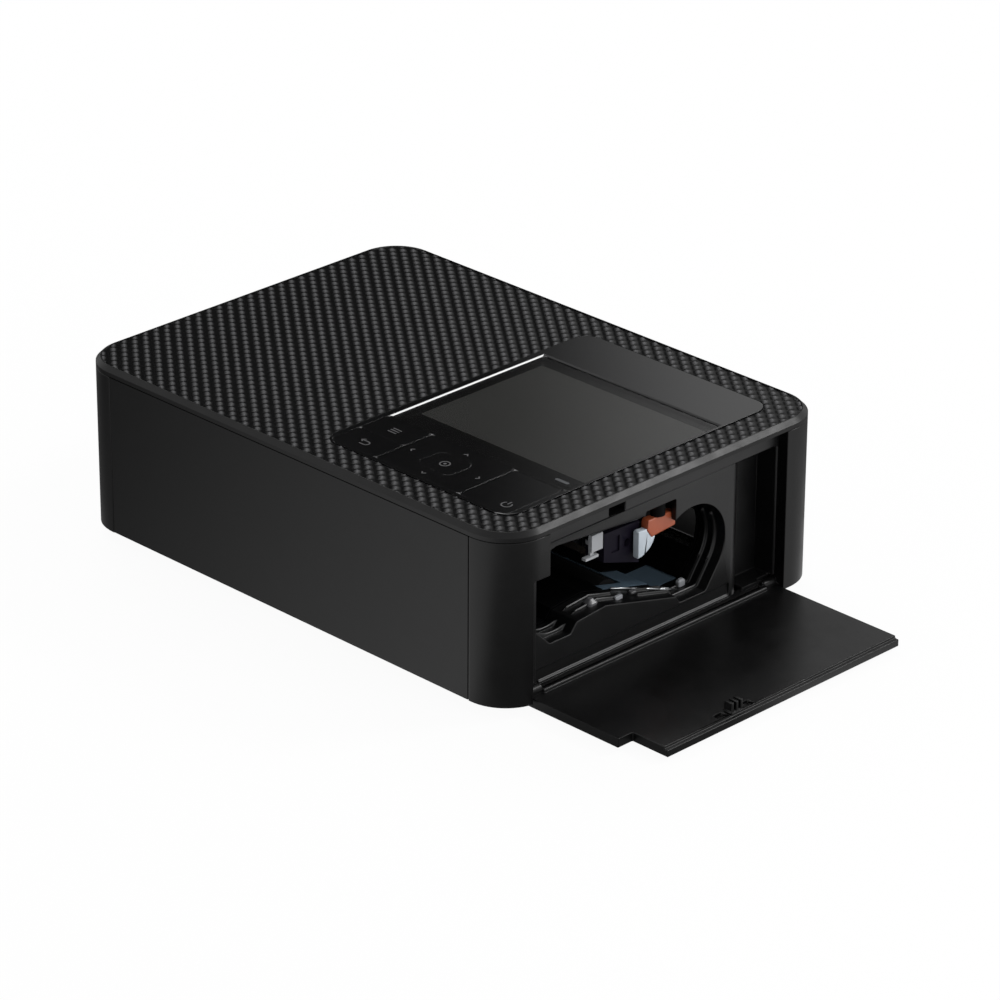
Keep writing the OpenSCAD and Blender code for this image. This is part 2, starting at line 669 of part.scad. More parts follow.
module menu_button() color(gloss_black) key(menu_at) menu_key();
module back_button() color(gloss_black) key(back_at) back_key();
module power_button() color(gloss_black) key(power_at) power_key();
module ok_button() color(gloss_black) key(ok_at) ok_key();
module nav_pad() color(gloss_black) {
    slab(key_bottom, key_top) difference() {
        nav_key();
        ok_key(key_gap);
    }
    for (p = nav_places) key_stem(p);
}

module status_light() color([0.75, 0.8, 0.8])
    slab(key_board_top + dome_h + 0.2, glass_top - 0.05) light_slot();

module key_board() color(board_green) {
    block(panel_x0 - 2.5, panel_x1 + 2.5, panel_y0 + 1.5, basin_y0 + 5.4,
        key_board_top - board_t, key_board_top);
    for (p = switch_places)
        translate([p[0], p[1], key_board_top]) cylinder(r1 = 2.6, r2 = 1.8, h = dome_h);
    // Lamp under the status light
    block(panel_x1 - 9.2, panel_x1 - 5.2, basin_y0 + 3.4, basin_y0 + 5.8,
        key_board_top, key_board_top + dome_h);
}

// ---- Ribbon bay ----

step_z0 = base_top;
// Shallow band along the foot of the plate
band_z0 = 7;
band_z1 = 10.9;
band_in = 0.6;
step_z1 = frame_top - 0.7;
pocket_in = 9;
bend_r = 6;
stem_r = 2.2;
stem_y = 2.6;
plate_back = recess_x - plate_t;
plate_face = recess_x - plate_step;
pocket_t = 1.4;
lever_x0 = plate_back - 3;
lever_x1 = plate_back - 0.2;
stem_x = (lever_x0 + lever_x1) / 2;
lever_top = frame_top - 9.5;
spring_top = cover_z - 1.3;
// Length of the lever spring when it is squashed
spring_solid = 3.1;
stem_top = spring_top - lever_travel - spring_solid;

module bay_frame() color(inner_black) {
    difference() {
        union() {
            // Rim and plate
            block(plate_back, recess_x, recess_y0 - 1.5, recess_y1 + 2.2, base_top + 0.1, shell_top);
            // Walls of the mouth
            along_x(mouth_x + frame_t + 0.2, plate_back + 0.1) mouth(sleeve_t, lever_notch);
            // Pocket at the back end
            block(recess_x - pocket_in, recess_x, pocket_y0 - pocket_t, pocket_y1 + pocket_t,
                base_top + 0.1, frame_top);
            // Guide of the release lever
            block(lever_x0 - 1.6, recess_x, stem_y - stem_r - 2, stem_y + stem_r + 2,
                frame_top - 4.3, spring_top + 0.7);
            // Case of the catch
            block(plate_back - 4, recess_x, catch_hole_y0 - 1.2, catch_hole_y1 + 1.2,
                catch_hole_z0 - 1, shell_top);
        }
        // Plate set back inside its rim
        block(plate_face, recess_x + 1, mouth_y0, pocket_y1, step_z0, step_z1);
        block(plate_face - band_in, recess_x, mouth_y0, pocket_y0 - bend_r, band_z0, band_z1);
        along_x(mouth_x, recess_x + 1) mouth();
        along_x(mouth_x, plate_back) mouth(0, lever_notch);
        block(recess_x - pocket_in + pocket_t, recess_x + 1, pocket_y0, pocket_y1,
            base_top + pocket_t, frame_top - 1.2);
        // Plate bends inward before the pocket
        difference() {
            block(plate_face - bend_r, recess_x + 1, pocket_y0 - bend_r, pocket_y0 + 0.1, step_z0, step_z1);
            translate([plate_face - bend_r, pocket_y0 - bend_r, 0]) cylinder(r = bend_r, h = body_h);
        }
        block(plate_back - 2.8, recess_x + 1, catch_hole_y0, catch_hole_y1, catch_hole_z0, catch_hole_z1);
        translate([stem_x, stem_y, frame_top - 5])
            cylinder(r = stem_r + 0.07, h = spring_top - frame_top + 5);
        // Room for the door's knuckles
        for (y = [door_y0 - 0.4, door_y1 - knuckle_len - 0.4])
            block(door_axis_x - knuckle_r - 0.3, recess_x + 1, y, y + knuckle_len + 0.8,
                base_top, door_axis_z + knuckle_r + 0.3);
        for (y = [recess_y0 - 2.6, recess_y1 - 0.1])
            block(door_axis_x - 2.4, recess_x + 1, y, y + 3, base_top, door_axis_z + 2.2);
    }
    for (x = [mouth_x + 4, mouth_x + 7.4]) along_x(x, x + 0.9) rail_outline();
}

// Low rails along the floor of the mouth, with a gap that the print head swings into
rail_h = 0.9;
supply_arc_r = 12.6;
module rail_outline() intersection() {
    mouth(0.3, lever_notch);
    union() {
        difference() {
            polygon([[-31, 8], [-12.5, 8], [-12.5, 24], [-31, 24]]);
            mouth(-rail_h, lever_notch);
        }
        difference() {
            polygon([[-5, 8], [takeup_y + 16, 8], [takeup_y + 16, 34], [takeup_y + 9, 34],
                [12, 18], [-5, 24]]);
            mouth(-rail_h, lever_notch);
        }
        // Arc round the supply spool
        difference() {
            polygon([[mouth_y0 - 1, 8], [-31, 8], [-31, 21.3], [supply_y, supply_z],
                [mouth_y0 - 1, 28]]);
            translate([supply_y, supply_z]) circle(r = supply_arc_r);
        }
    }
}

// Floor that the ribbon cassette lies on, with a slot for the platen
module ribbon_cradle() color(dark_steel) difference() {
    along_x(left_x + 0.1, mouth_x - 0.1) intersection() {
        difference() {
            mouth(1);
            mouth();
        }
        polygon([[mouth_y0 - 2, 8], [takeup_y + 18, 8], [takeup_y + 18, 17], [2, 23], [mouth_y0 - 2, 28]]);
    }
    block(left_x + 3, mouth_x - 3, platen_y - platen_r - 0.6, platen_y + platen_r + 0.6, 14, 24);
    block(left_x + 3, mouth_x - 3, pickup_y - 3, pickup_y + 3, 19, 20.2);
}

// Height of the lever's flat seat over its lower part
lever_seat = 0.6;

module release_lever() color(orange) along_x(lever_x0, lever_x1) translate([0, lever_top])
    polygon([[-2.9, -2.6], [-1.1, -5], [8.7, -4.2], [8.7, 0.3], [5.6, lever_seat], [-2.6, lever_seat]]);

// Upright slide that carries the lever
module lever_slide() color(inner_black) translate([stem_x, stem_y, lever_top + lever_seat])
    cylinder(r = stem_r, h = stem_top - lever_top - lever_seat);

// White quarter disc that hangs from the lever
module latch_pawl() color(nylon) along_x(lever_x0 + 0.6, lever_x1) translate([0, lever_top]) difference() {
    translate([-6.6, -2.9]) circle(r = 7.3);
    polygon([[-20, -20], [-6.6, -20], [-6.6, 10], [-20, 10]]);
    polygon([[-7, -1.6], [-2.95, -1.9], [-2.95, -2.6], [-1.15, -5.05], [20, -3.3], [20, 20], [-7, 20]]);
}

module lever_spring() color(steel) translate([stem_x, stem_y, stem_top]) difference() {
    cylinder(r = stem_r - 0.1, h = spring_top - stem_top);
    translate([0, 0, -1]) cylinder(r = stem_r - 0.7, h = spring_top - stem_top + 2);
}

// Sensor that hangs from the side frame beside the print head
sensor_y = -18.6;
module ribbon_sensor() color([0.6, 0.61, 0.62]) {
    block(recess_x - 7.4, recess_x - 6, sensor_y - 4, sensor_y + 0.5, head_top - 4.4, head_top + 0.8);
    block(mouth_x + frame_t, recess_x - 7.3, sensor_y - 1, sensor_y + 0.5, head_top - 4.4, head_top - 3);
    block(recess_x - 7.4, recess_x - 6.6, sensor_y - 4, sensor_y - 2.6, head_top - 6.3, head_top - 4.3);
    block(recess_x - 7.4, recess_x - 5.8, sensor_y - 6.6, sensor_y - 1.4, head_top - 6.3, head_top - 5.5);
}

frame_y0 = -56;
frame_y1 = 54;

module side_frame_outline() difference() {
    polygon([[frame_y0, base_top], [frame_y1, base_top], [frame_y1, frame_top - 11],
        [frame_y1 - 10, frame_top], [frame_y0, frame_top]]);
    translate([pivot_y, pivot_z]) circle(r = pivot_r + 0.03);
    translate([platen_y, platen_z]) circle(r = shaft_r + 0.05);
    translate([feed_y, feed_z]) circle(r = shaft_r + 0.05);
    translate([feed_y, pinch_z]) circle(r = 1.05);
    translate([pickup_y, pickup_z]) circle(r = shaft_r + 0.05);
    for (z = [17, 28]) translate([frame_y1 - 10, z]) circle(r = 3);
}

// Frame with the mouth cut out, apart from a tongue that carries the sensor
module right_side_frame() color(steel) along_x(mouth_x, mouth_x + frame_t) difference() {
    side_frame_outline();
    difference() {
        mouth(0.2);
        polygon([[sensor_y - 2.4, frame_top], [sensor_y + 0.6, frame_top], [sensor_y + 0.6, head_top - 4.6],
            [sensor_y - 2.4, head_top - 4.6]]);
    }
}

module left_side_frame() color(steel) along_x(left_x - frame_t, left_x) difference() {
    side_frame_outline();
    translate([takeup_y, takeup_z]) circle(r = shaft_r + 0.55);
    translate([supply_y, supply_z]) circle(r = shaft_r + 0.55);
}

rod_places = [[-52, frame_top - 5], [49, frame_top - 10], [49, 20]];

module tie_rods() color(steel)
    for (p = rod_places) rod(left_x, mouth_x, p[0], p[1], 2);

// ---- Print head ----

head_y0 = -17.6;
head_y1 = -3.1;
chip_t = 2.4;
fin_count = 4;
fin_h = 4.6;

module head_heatsink() color([0.72, 0.73, 0.75]) along_x(left_x + 4, mouth_x - 0.6) difference() {
    polygon([[head_y0, head_low0 + chip_t], [head_y1, head_low1 + chip_t], [head_y1, head_top],
        [head_y0, head_top]]);
    for (i = [0 : fin_count - 1])
        translate([head_y0 + 2.2 + 3.3 * i, head_top - fin_h]) square([1.5, fin_h + 0.4]);
}

module thermal_head() color([0.82, 0.8, 0.74]) along_x(left_x + 4, mouth_x - 0.6)
    polygon([[head_y0, head_low0], [head_y1, head_low1], [head_y1, head_low1 + chip_t],
        [head_y0, head_low0 + chip_t]]);

module head_end_cap() color([0.13, 0.14, 0.18]) difference() {
    along_x(mouth_x - 0.6, recess_x - 6)
        polygon([[head_y0, head_low0], [head_y1, head_low1], [head_y1, head_top - 0.6],
            [head_y0, head_top - 0.2]]);
    rod(recess_x - 8, recess_x - 5, (head_y0 + head_y1) / 2 + 2.4, head_top - 6, 1.3);
    block(recess_x - 6.6, recess_x - 5, head_y0 + 3, head_y0 + 6.4, head_top - 7.4, head_top - 2.4);
}

module head_arms() color(steel)
    for (x = [left_x + 4, mouth_x - 4.6]) along_x(x, x + 3) difference() {
        union() {
            polygon([[head_y0, head_top], [head_y1, head_top], [pivot_y + 3, pivot_z - 3],
                [pivot_y, pivot_z + 2.6], [head_y0 + 4, head_top + 5], [head_y0, head_top + 3]]);
            translate([pivot_y, pivot_z]) circle(r = 4);
        }
        translate([pivot_y, pivot_z]) circle(r = pivot_r + 0.05);
        translate([8, pivot_z - 1.8]) circle(r = 1.6);
    }

module head_pivot_rod() color(steel) rod(left_x - frame_t, mouth_x + frame_t, pivot_y, pivot_z, pivot_r);

// ---- Paper path ----

roller_x0 = left_x + 4;
roller_x1 = mouth_x - 4;

module sleeve_on_shaft(r, y, z) difference() {
    rod(roller_x0, roller_x1, y, z, r);
    rod(roller_x0 - 1, roller_x1 + 1, y, z, shaft_r);
}

module platen_roller() color(rubber_grey) sleeve_on_shaft(platen_r, platen_y, platen_z);
module platen_shaft() color(steel)
    rod(left_x - frame_t - 0.4, mouth_x + frame_t, platen_y, platen_z, shaft_r);
module feed_roller() color(steel) {
    rod(roller_x0, roller_x1, feed_y, feed_z, feed_r);
    rod(gear_x, mouth_x + frame_t, feed_y, feed_z, shaft_r);
}
module pinch_roller() color(steel) {
    rod(roller_x0, roller_x1, feed_y, pinch_z, pinch_r);
    rod(left_x - frame_t, mouth_x + frame_t, feed_y, pinch_z, 1);
}
module pickup_roller() color(rubber_grey)
    for (x = [18, 62]) difference() {
        rod(left_x + x - 5, left_x + x + 5, pickup_y, pickup_z, pickup_r);
        rod(left_x + x - 6, left_x + x + 6, pickup_y, pickup_z, shaft_r);
    }
module pickup_shaft() color(steel) rod(gear_x, mouth_x + frame_t, pickup_y, pickup_z, shaft_r);

// Guide under the back spool, out to the rear slot
guide_t = 0.8;
guide_end = back_y - wall - 0.6;
module paper_guide() color(dark_steel) difference() {
    along_x(left_x + 0.1, mouth_x - 0.1)
        polygon([[2, 12.6], [8, path_z - 0.4], [guide_end, path_z - 0.4],
            [guide_end, path_z - 0.4 - guide_t], [8, path_z - 0.4 - guide_t], [2, 12.6 - guide_t]]);
    block(roller_x0 - 1, roller_x1 + 1, feed_y - pinch_r - 1.8, feed_y + pinch_r + 1.8, 5, 14);
}

// ---- Spool drive and gear train ----

module hub(y, z) {
    rod(left_x + 0.3, left_x + 5, y, z, hub_r);
    translate([left_x + 5, y, z]) rotate([0, 90, 0]) cylinder(r1 = hub_r - 1.4, r2 = hub_r - 2.2, h = 4);
    for (i = [0 : 5])
        along_x(left_x + 5, left_x + 8) translate([y, z]) rotate(60 * i)
            polygon([[0, -0.5], [hub_r - 0.4, -0.5], [hub_r - 0.4, 0.5], [0, 0.5]]);
}
module takeup_hub() color([0.8, 0.8, 0.78]) {
    hub(takeup_y, takeup_z);
    rod(gear_x, left_x + 0.4, takeup_y, takeup_z, shaft_r + 0.5);
}
module supply_hub() color([0.8, 0.8, 0.78]) {
    hub(supply_y, supply_z);
    rod(left_x - frame_t - 0.4, left_x + 0.4, supply_y, supply_z, shaft_r + 0.5);
    rod(left_x - frame_t - 1.4, left_x - frame_t - 0.2, supply_y, supply_z, shaft_r + 1.5);
}
module takeup_gear() color(nylon) gear(teeth_takeup, takeup_start, takeup_y, takeup_z, shaft_r + 0.5);
module feed_gear() color(nylon) gear(teeth_feed, feed_start, feed_y, feed_z, shaft_r);
module pickup_gear() color(nylon) gear(teeth_pickup, pickup_start, pickup_y, pickup_z, shaft_r);
module idler_gear() color(nylon) gear(teeth_idler, idler_start, idler_y, idler_z, 1.55);
module motor_pinion() color([0.75, 0.6, 0.3]) gear(teeth_pinion, pinion_start, pinion_y, pinion_z, 1);

module gear_plate() color(steel) {
    along_x(gear_plate_x, gear_plate_x + frame_t) difference() {
        polygon([[-34, 20], [-20, 8.5], [24, 8.5], [24, 36], [8, frame_top], [-30, frame_top],
            [-34, frame_top - 6]]);
        translate([takeup_y, takeup_z]) circle(r = 6);
        translate([pinion_y, pinion_z]) circle(r = 2.4);
    }
    for (p = [[-30, frame_top - 5], [4, frame_top - 4], [-2, 9.8], [21, 10]])
        rod(gear_plate_x + frame_t - 0.1, left_x - frame_t, p[0], p[1], 1.3);
    // Stud of the idler gear
    rod(gear_plate_x + frame_t - 0.1, left_x - frame_t, idler_y, idler_z, 1.5);
}

module drive_motor() color([0.55, 0.56, 0.58]) {
    rod(gear_plate_x - motor_len, gear_plate_x, pinion_y, pinion_z, motor_r);
    rod(gear_plate_x - 0.1, gear_x + gear_w, pinion_y, pinion_z, 0.98);
    rod(gear_plate_x - 0.1, gear_plate_x + 0.8, pinion_y, pinion_z, 2.2);
}

// ---- Electronics ----

module main_board() color(board_green) {
    difference() {
        intersection() {
            block(board_x0, board_x1, board_y0, board_y1, board_z, board_top);
            slab(board_z - 1, board_top + 1) body_outline(wall + 1);
        }
        // Holes round the screw bosses
        for (p = [screw_places[0], screw_places[2]])
            translate([p[0], p[1], board_z - 1]) cylinder(r = boss_r + 0.5, h = board_t + 2);
    }
    // Main processor, power coil and capacitors
    block(board_x1 - 14, board_x1 - 2, -6, 6, board_top, board_top + 1.4);
    block(board_x1 - 12, board_x1 - 2, board_y1 - 40, board_y1 - 30, board_top, board_top + 7);
    for (y = [board_y1 - 28, board_y1 - 19])
        translate([board_x1 - 7, y, board_top]) cylinder(r = 3.6, h = 13);
    // Standoffs on the tray
    for (x = [board_x0 + 5, board_x1 - 4], y = [board_y0 + 20, board_y1 - 22])
        translate([x, y, base_top]) cylinder(r = 2.2, h = board_z - base_top);
}

module dc_inlet() color(inner_black) difference() {
    union() {
        block(jack_x - 4.8, jack_x + 4.8, back_y - wall - 12, back_y - wall - 0.1,
            board_top, board_top + 10);
        translate([jack_x, back_y - 0.8, board_top + 5]) rotate([90, 0, 0]) cylinder(r = 4.1, h = wall);
    }
    translate([jack_x, back_y + 1, board_top + 5]) rotate([90, 0, 0]) difference() {
        cylinder(r = 2.8, h = 11);
        cylinder(r = 0.8, h = 11);
    }
}

module usb_c_port() color(connector) translate([usb_c_x, 0, board_top + 1.7]) rotate([90, 0, 0])
    translate([0, 0, -back_y + 0.7]) linear_extrude(height = 8) difference() {
        round_rect(9, 3.2, 1.5);
        difference() {
            round_rect(8.4, 2.6, 1.2);
            square([6.6, 0.7], center = true);
        }
    }

// An open-fronted metal socket in the left wall
module side_socket(y, w, h, depth, skin) {
    x0 = -right_x + 0.8;
    difference() {
        block(x0, x0 + depth, y - w / 2, y + w / 2, board_top, board_top + h);
        block(x0 - 1, x0 + depth - skin, y - w / 2 + skin, y + w / 2 - skin,
            board_top + skin, board_top + h - skin);
    }
}
module usb_a_port() color(connector) {
    side_socket(usb_a_y, 13.2, 5.8, 14, 0.35);
    block(-right_x + 2, -right_x + 14.6, usb_a_y - 5.6, usb_a_y + 5.6, board_top + 3.2, board_top + 5.3);
}
module card_slot() color(connector) side_socket(card_y, card_w - 0.4, 3, 27, 0.3);

base_tray();
body_shell();
top_cover();
rubber_feet();
base_screws();
front_flap();
flap_hinge_pins();
ribbon_door();
door_hinge_pins();
control_panel();
screen_glass();
lcd_module();
menu_button();
back_button();
nav_pad();
ok_button();
power_button();
status_light();
key_board();
bay_frame();
ribbon_cradle();
release_lever();
lever_slide();
latch_pawl();
lever_spring();
ribbon_sensor();
right_side_frame();
left_side_frame();
tie_rods();
head_heatsink();
thermal_head();
head_end_cap();
head_arms();
head_pivot_rod();
platen_roller();
platen_shaft();
feed_roller();
pinch_roller();
pickup_roller();
pickup_shaft();
paper_guide();
takeup_hub();
supply_hub();
takeup_gear();
feed_gear();
pickup_gear();
idler_gear();
motor_pinion();
drive_motor();
gear_plate();
main_board();
dc_inlet();
usb_c_port();
usb_a_port();
card_slot();
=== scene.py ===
"""Compact photo printer: finishes, woven relief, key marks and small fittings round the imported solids.

Lengths in the tables below are in millimetres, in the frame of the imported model, and are
turned into metres when a mesh is made.
"""

import math

import bpy
import numpy as np
from bpy.props import FloatProperty, FloatVectorProperty, PointerProperty
from mathutils import Matrix, Vector


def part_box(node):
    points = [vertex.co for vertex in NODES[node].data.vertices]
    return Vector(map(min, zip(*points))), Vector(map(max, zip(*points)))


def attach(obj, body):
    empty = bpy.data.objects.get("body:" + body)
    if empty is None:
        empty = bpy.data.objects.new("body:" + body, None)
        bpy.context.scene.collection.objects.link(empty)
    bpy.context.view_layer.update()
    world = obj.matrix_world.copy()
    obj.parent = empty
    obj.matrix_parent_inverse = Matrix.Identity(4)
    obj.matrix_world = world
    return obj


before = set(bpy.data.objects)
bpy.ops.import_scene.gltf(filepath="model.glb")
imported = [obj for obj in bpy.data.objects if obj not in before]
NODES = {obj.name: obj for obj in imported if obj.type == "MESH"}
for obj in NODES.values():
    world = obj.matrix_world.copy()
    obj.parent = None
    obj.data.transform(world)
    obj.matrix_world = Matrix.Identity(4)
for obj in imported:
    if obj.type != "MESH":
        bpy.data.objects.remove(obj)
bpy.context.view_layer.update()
MM = 0.001

bl_info = {
    "name": "Compact photo printer",
    "version": (1, 0, 0),
    "blender": (4, 5, 0),
    "location": "View3D > Sidebar > Photo printer",
    "description": "Dresses the packed solids of a compact photo printer",
    "category": "Object",
}


def node_box(node):
    """Lowest and highest corner of a solid, in millimetres."""
    low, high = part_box(node)
    return low / MM, high / MM


# ---- Settings ----


class CaseSettings(bpy.types.PropertyGroup):
    """Outer case."""

    colour: FloatVectorProperty(
        name="Case colour", description="Colour of the moulded case",
        subtype="COLOR", default=(0.0019, 0.0019, 0.002), min=0, max=1)
    roughness: FloatProperty(
        name="Case roughness", description="Roughness of the satin case",
        subtype="FACTOR", default=0.35, min=0, max=1)
    edge: FloatProperty(
        name="Edge radius", description="Radius that softens the moulded edges",
        unit="LENGTH", default=0.00022, min=0.00005, max=0.001)


class WeaveSettings(bpy.types.PropertyGroup):
    """Woven relief on the top face."""

    colour: FloatVectorProperty(
        name="Relief colour", description="Colour of the woven relief",
        subtype="COLOR", default=(0.03, 0.03, 0.031), min=0, max=1)
    relief: FloatProperty(
        name="Relief height", description="Height of the strands above the field",
        unit="LENGTH", default=0.00036, min=0.0001, max=0.0004)


class PanelSettings(bpy.types.PropertyGroup):
    """Control panel and screen."""

    gloss: FloatVectorProperty(
        name="Gloss colour", description="Colour of the glossy panel and keys",
        subtype="COLOR", default=(0.0018, 0.0018, 0.002), min=0, max=1)
    mark: FloatVectorProperty(
        name="Mark colour", description="Colour of the printed key marks",
        subtype="COLOR", default=(0.055, 0.055, 0.057), min=0, max=1)
    stroke: FloatProperty(
        name="Mark stroke", description="Width of the lines of the key marks",
        unit="LENGTH", default=0.00042, min=0.0002, max=0.0008)


class BaySettings(bpy.types.PropertyGroup):
    """Ribbon bay and its fittings."""

    lever: FloatVectorProperty(
        name="Lever colour", description="Colour of the release lever",
        subtype="COLOR", default=(0.375, 0.083, 0.032), min=0, max=1)
    nylon: FloatVectorProperty(
        name="Nylon colour", description="Colour of the white nylon parts",
        subtype="COLOR", default=(0.55, 0.61, 0.67), min=0, max=1)
    cradle: FloatVectorProperty(
        name="Cradle colour", description="Colour of the coated sheet under the ribbon",
        subtype="COLOR", default=(0.13, 0.19, 0.25), min=0, max=1)


class StageSettings(bpy.types.PropertyGroup):
    """Floor, lamps and camera."""

    lens: FloatProperty(
        name="Lens", description="Focal length of the camera",
        unit="CAMERA", default=173.884, min=20, max=400)
    distance: FloatProperty(
        name="Distance", description="Distance from the camera to its target",
        unit="LENGTH", default=1.438747, min=0.3, max=5)
    azimuth: FloatProperty(
        name="Azimuth", description="Turn of the camera round the printer",
        subtype="ANGLE", default=math.radians(44.99))
    elevation: FloatProperty(
        name="Elevation", description="Angle of the camera above the horizon",
        subtype="ANGLE", default=math.radians(25.28))
    roll: FloatProperty(
        name="Roll", description="Turn of the camera round its own line of sight",
        subtype="ANGLE", default=math.radians(0.327))
    lamp: FloatProperty(
        name="Lamp power", description="Power of the main soft lamp",
        unit="POWER", default=9.0, min=0, max=100)


SETTINGS = (
    ("printer_case", CaseSettings),
    ("printer_weave", WeaveSettings),
    ("printer_panel", PanelSettings),
    ("printer_bay", BaySettings),
    ("printer_stage", StageSettings),
)


# ---- Materials ----


class Finish:
    """One procedural material, built node by node on a Principled shader."""

    def __init__(self, name, **sockets):
        self.material = bpy.data.materials.new(name)
        self.material.use_nodes = True
        self.tree = self.material.node_tree
        self.shader = self.tree.nodes["Principled BSDF"]
        self.place = self.add("ShaderNodeTexCoord").outputs["Object"]
        for socket, value in sockets.items():
            self.set(socket.replace("_", " "), value)

    def set(self, socket, value):
        target = self.shader.inputs[socket]
        if isinstance(value, bpy.types.NodeSocket):
            self.tree.links.new(value, target)
        elif hasattr(value, "__len__") and len(target.default_value) == 4 and len(value) == 3:
            target.default_value = (*value, 1)
        else:
            target.default_value = value

    def add(self, kind, **inputs):
        node = self.tree.nodes.new(kind)
        for name, value in inputs.items():
            socket = node.inputs[name.replace("_", " ")]
            if isinstance(value, bpy.types.NodeSocket):
                self.tree.links.new(value, socket)
            else:
                socket.default_value = value
        return node

    def stretched(self, scale):
        """Object coordinates stretched by a factor along each axis."""
        return self.add("ShaderNodeMapping", Vector=self.place, Scale=scale).outputs["Vector"]

    def noise(self, scale, detail=2.0, roughness=0.5, vector=None):
        node = self.add("ShaderNodeTexNoise", Vector=vector or self.place, Scale=scale,
                        Detail=detail, Roughness=roughness)
        return node.outputs["Fac"]

    def ramp(self, factor, *stops):
        node = self.add("ShaderNodeValToRGB", Fac=factor)
        elements = node.color_ramp.elements
        while len(elements) < len(stops):
            elements.new(0.5)
        for element, (at, colour) in zip(elements, stops):
            element.position = at
            element.color = (*colour, 1) if hasattr(colour, "__len__") else (colour, colour, colour, 1)
        return node.outputs["Color"]

    def bump(self, height, distance):
        """A normal from a height, with its distance in millimetres."""
        node = self.add("ShaderNodeBump", Height=height, Distance=distance * MM, Strength=1.0)
        return node.outputs["Normal"]

    def tone(self, factor, colour, spread, low=0.3, high=0.7):
        """Base colour that drifts by a share either way of the colour given."""
        dark, pale = shade(colour, 1 - spread), shade(colour, 1 + spread)
        self.set("Base Color", self.ramp(factor, (low, dark), (high, pale)))

    def join(self, kind, first, second):
        """Two numbers put through one sum."""
        node = self.add("ShaderNodeMath")
        node.operation = kind
        for socket, value in zip(node.inputs, (first, second)):
            if isinstance(value, bpy.types.NodeSocket):
                self.tree.links.new(value, socket)
            else:
                socket.default_value = value
        return node.outputs[0]


def shade(colour, factor):
    """A colour made darker or lighter by a factor."""
    return tuple(min(1.0, c * factor) for c in colour)


def moulded(name, colour, roughness, grain=3200, depth=0.012, **sockets):
    """Moulded plastic: slow drift of tone, patchy gloss and a fine spark-eroded grain."""
    finish = Finish(name, **sockets)
    finish.tone(finish.noise(45, 3), colour, 0.12)
    patch = finish.noise(120, 4, 0.6)
    finish.set("Roughness", finish.ramp(patch, (0.3, roughness - 0.05), (0.75, roughness + 0.05)))
    finish.set("Normal", finish.bump(finish.noise(grain, 3, 0.55), depth))
    return finish.material


def polished(name, colour, roughness, smudge=0.03, peel=0.004, **sockets):
    """High-gloss plastic with faint smudges and a trace of orange peel."""
    finish = Finish(name, **sockets)
    finish.tone(finish.noise(60, 2), colour, 0.1, 0.35, 0.65)
    smears = finish.noise(38, 5, 0.65)
    finish.set("Roughness", finish.ramp(smears, (0.4, roughness), (0.8, roughness + smudge)))
    finish.set("Normal", finish.bump(finish.noise(260, 2), peel))
    return finish.material


def worked_metal(name, colour, roughness, along, grain=900):
    """Bare metal with marks drawn out along the axis of the smallest factor."""
    finish = Finish(name, Metallic=1.0)
    lines = finish.noise(grain, 3, 0.6, finish.stretched(along))
    finish.tone(finish.noise(70, 3), colour, 0.08)
    finish.set("Roughness", finish.ramp(lines, (0.25, roughness - 0.06), (0.75, roughness + 0.08)))
    finish.set("Normal", finish.bump(lines, 0.006))
    return finish.material


def dress(material, *nodes):
    """Gives a finish to carried-over solids."""
    for node in nodes:
        for slot in NODES[node].material_slots:
            slot.material = material


def soften(radius, *nodes, clamp=True):
    """Rounds the edges of carried-over solids, in metres, with modifiers that leave the meshes as packed.

    Where a solid has very short edges, the clamp would narrow all of its edges with them.
    """
    for node in nodes:
        target = NODES[node]
        weld = target.modifiers.new("join_corners", "WELD")
        weld.merge_threshold = 1e-6
        rounding = target.modifiers.new("edge_radius", "BEVEL")
        rounding.width = radius
        rounding.segments = 3
        rounding.profile = 0.25
        rounding.use_clamp_overlap = clamp
        rounding.limit_method = "ANGLE"
        rounding.angle_limit = math.radians(32)
        rounding.miter_outer = "MITER_ARC"
        normals = target.modifiers.new("even_normals", "WEIGHTED_NORMAL")
        normals.keep_sharp = False
        normals.weight = 100


# ---- Meshes ----


def make_piece(name, points, faces, body, material, smooth=False):
    """A mesh from points in millimetres, riding on a body."""
    mesh = bpy.data.meshes.new(name)
    mesh.from_pydata([tuple(c * MM for c in p) for p in points], [], faces)
    mesh.validate()
    mesh.update()
    if smooth:
        mesh.polygons.foreach_set("use_smooth", [True] * len(mesh.polygons))
    mesh.materials.append(material)
    made = bpy.data.objects.new(name, mesh)
    bpy.context.scene.collection.objects.link(made)
    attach(made, body)
    return made


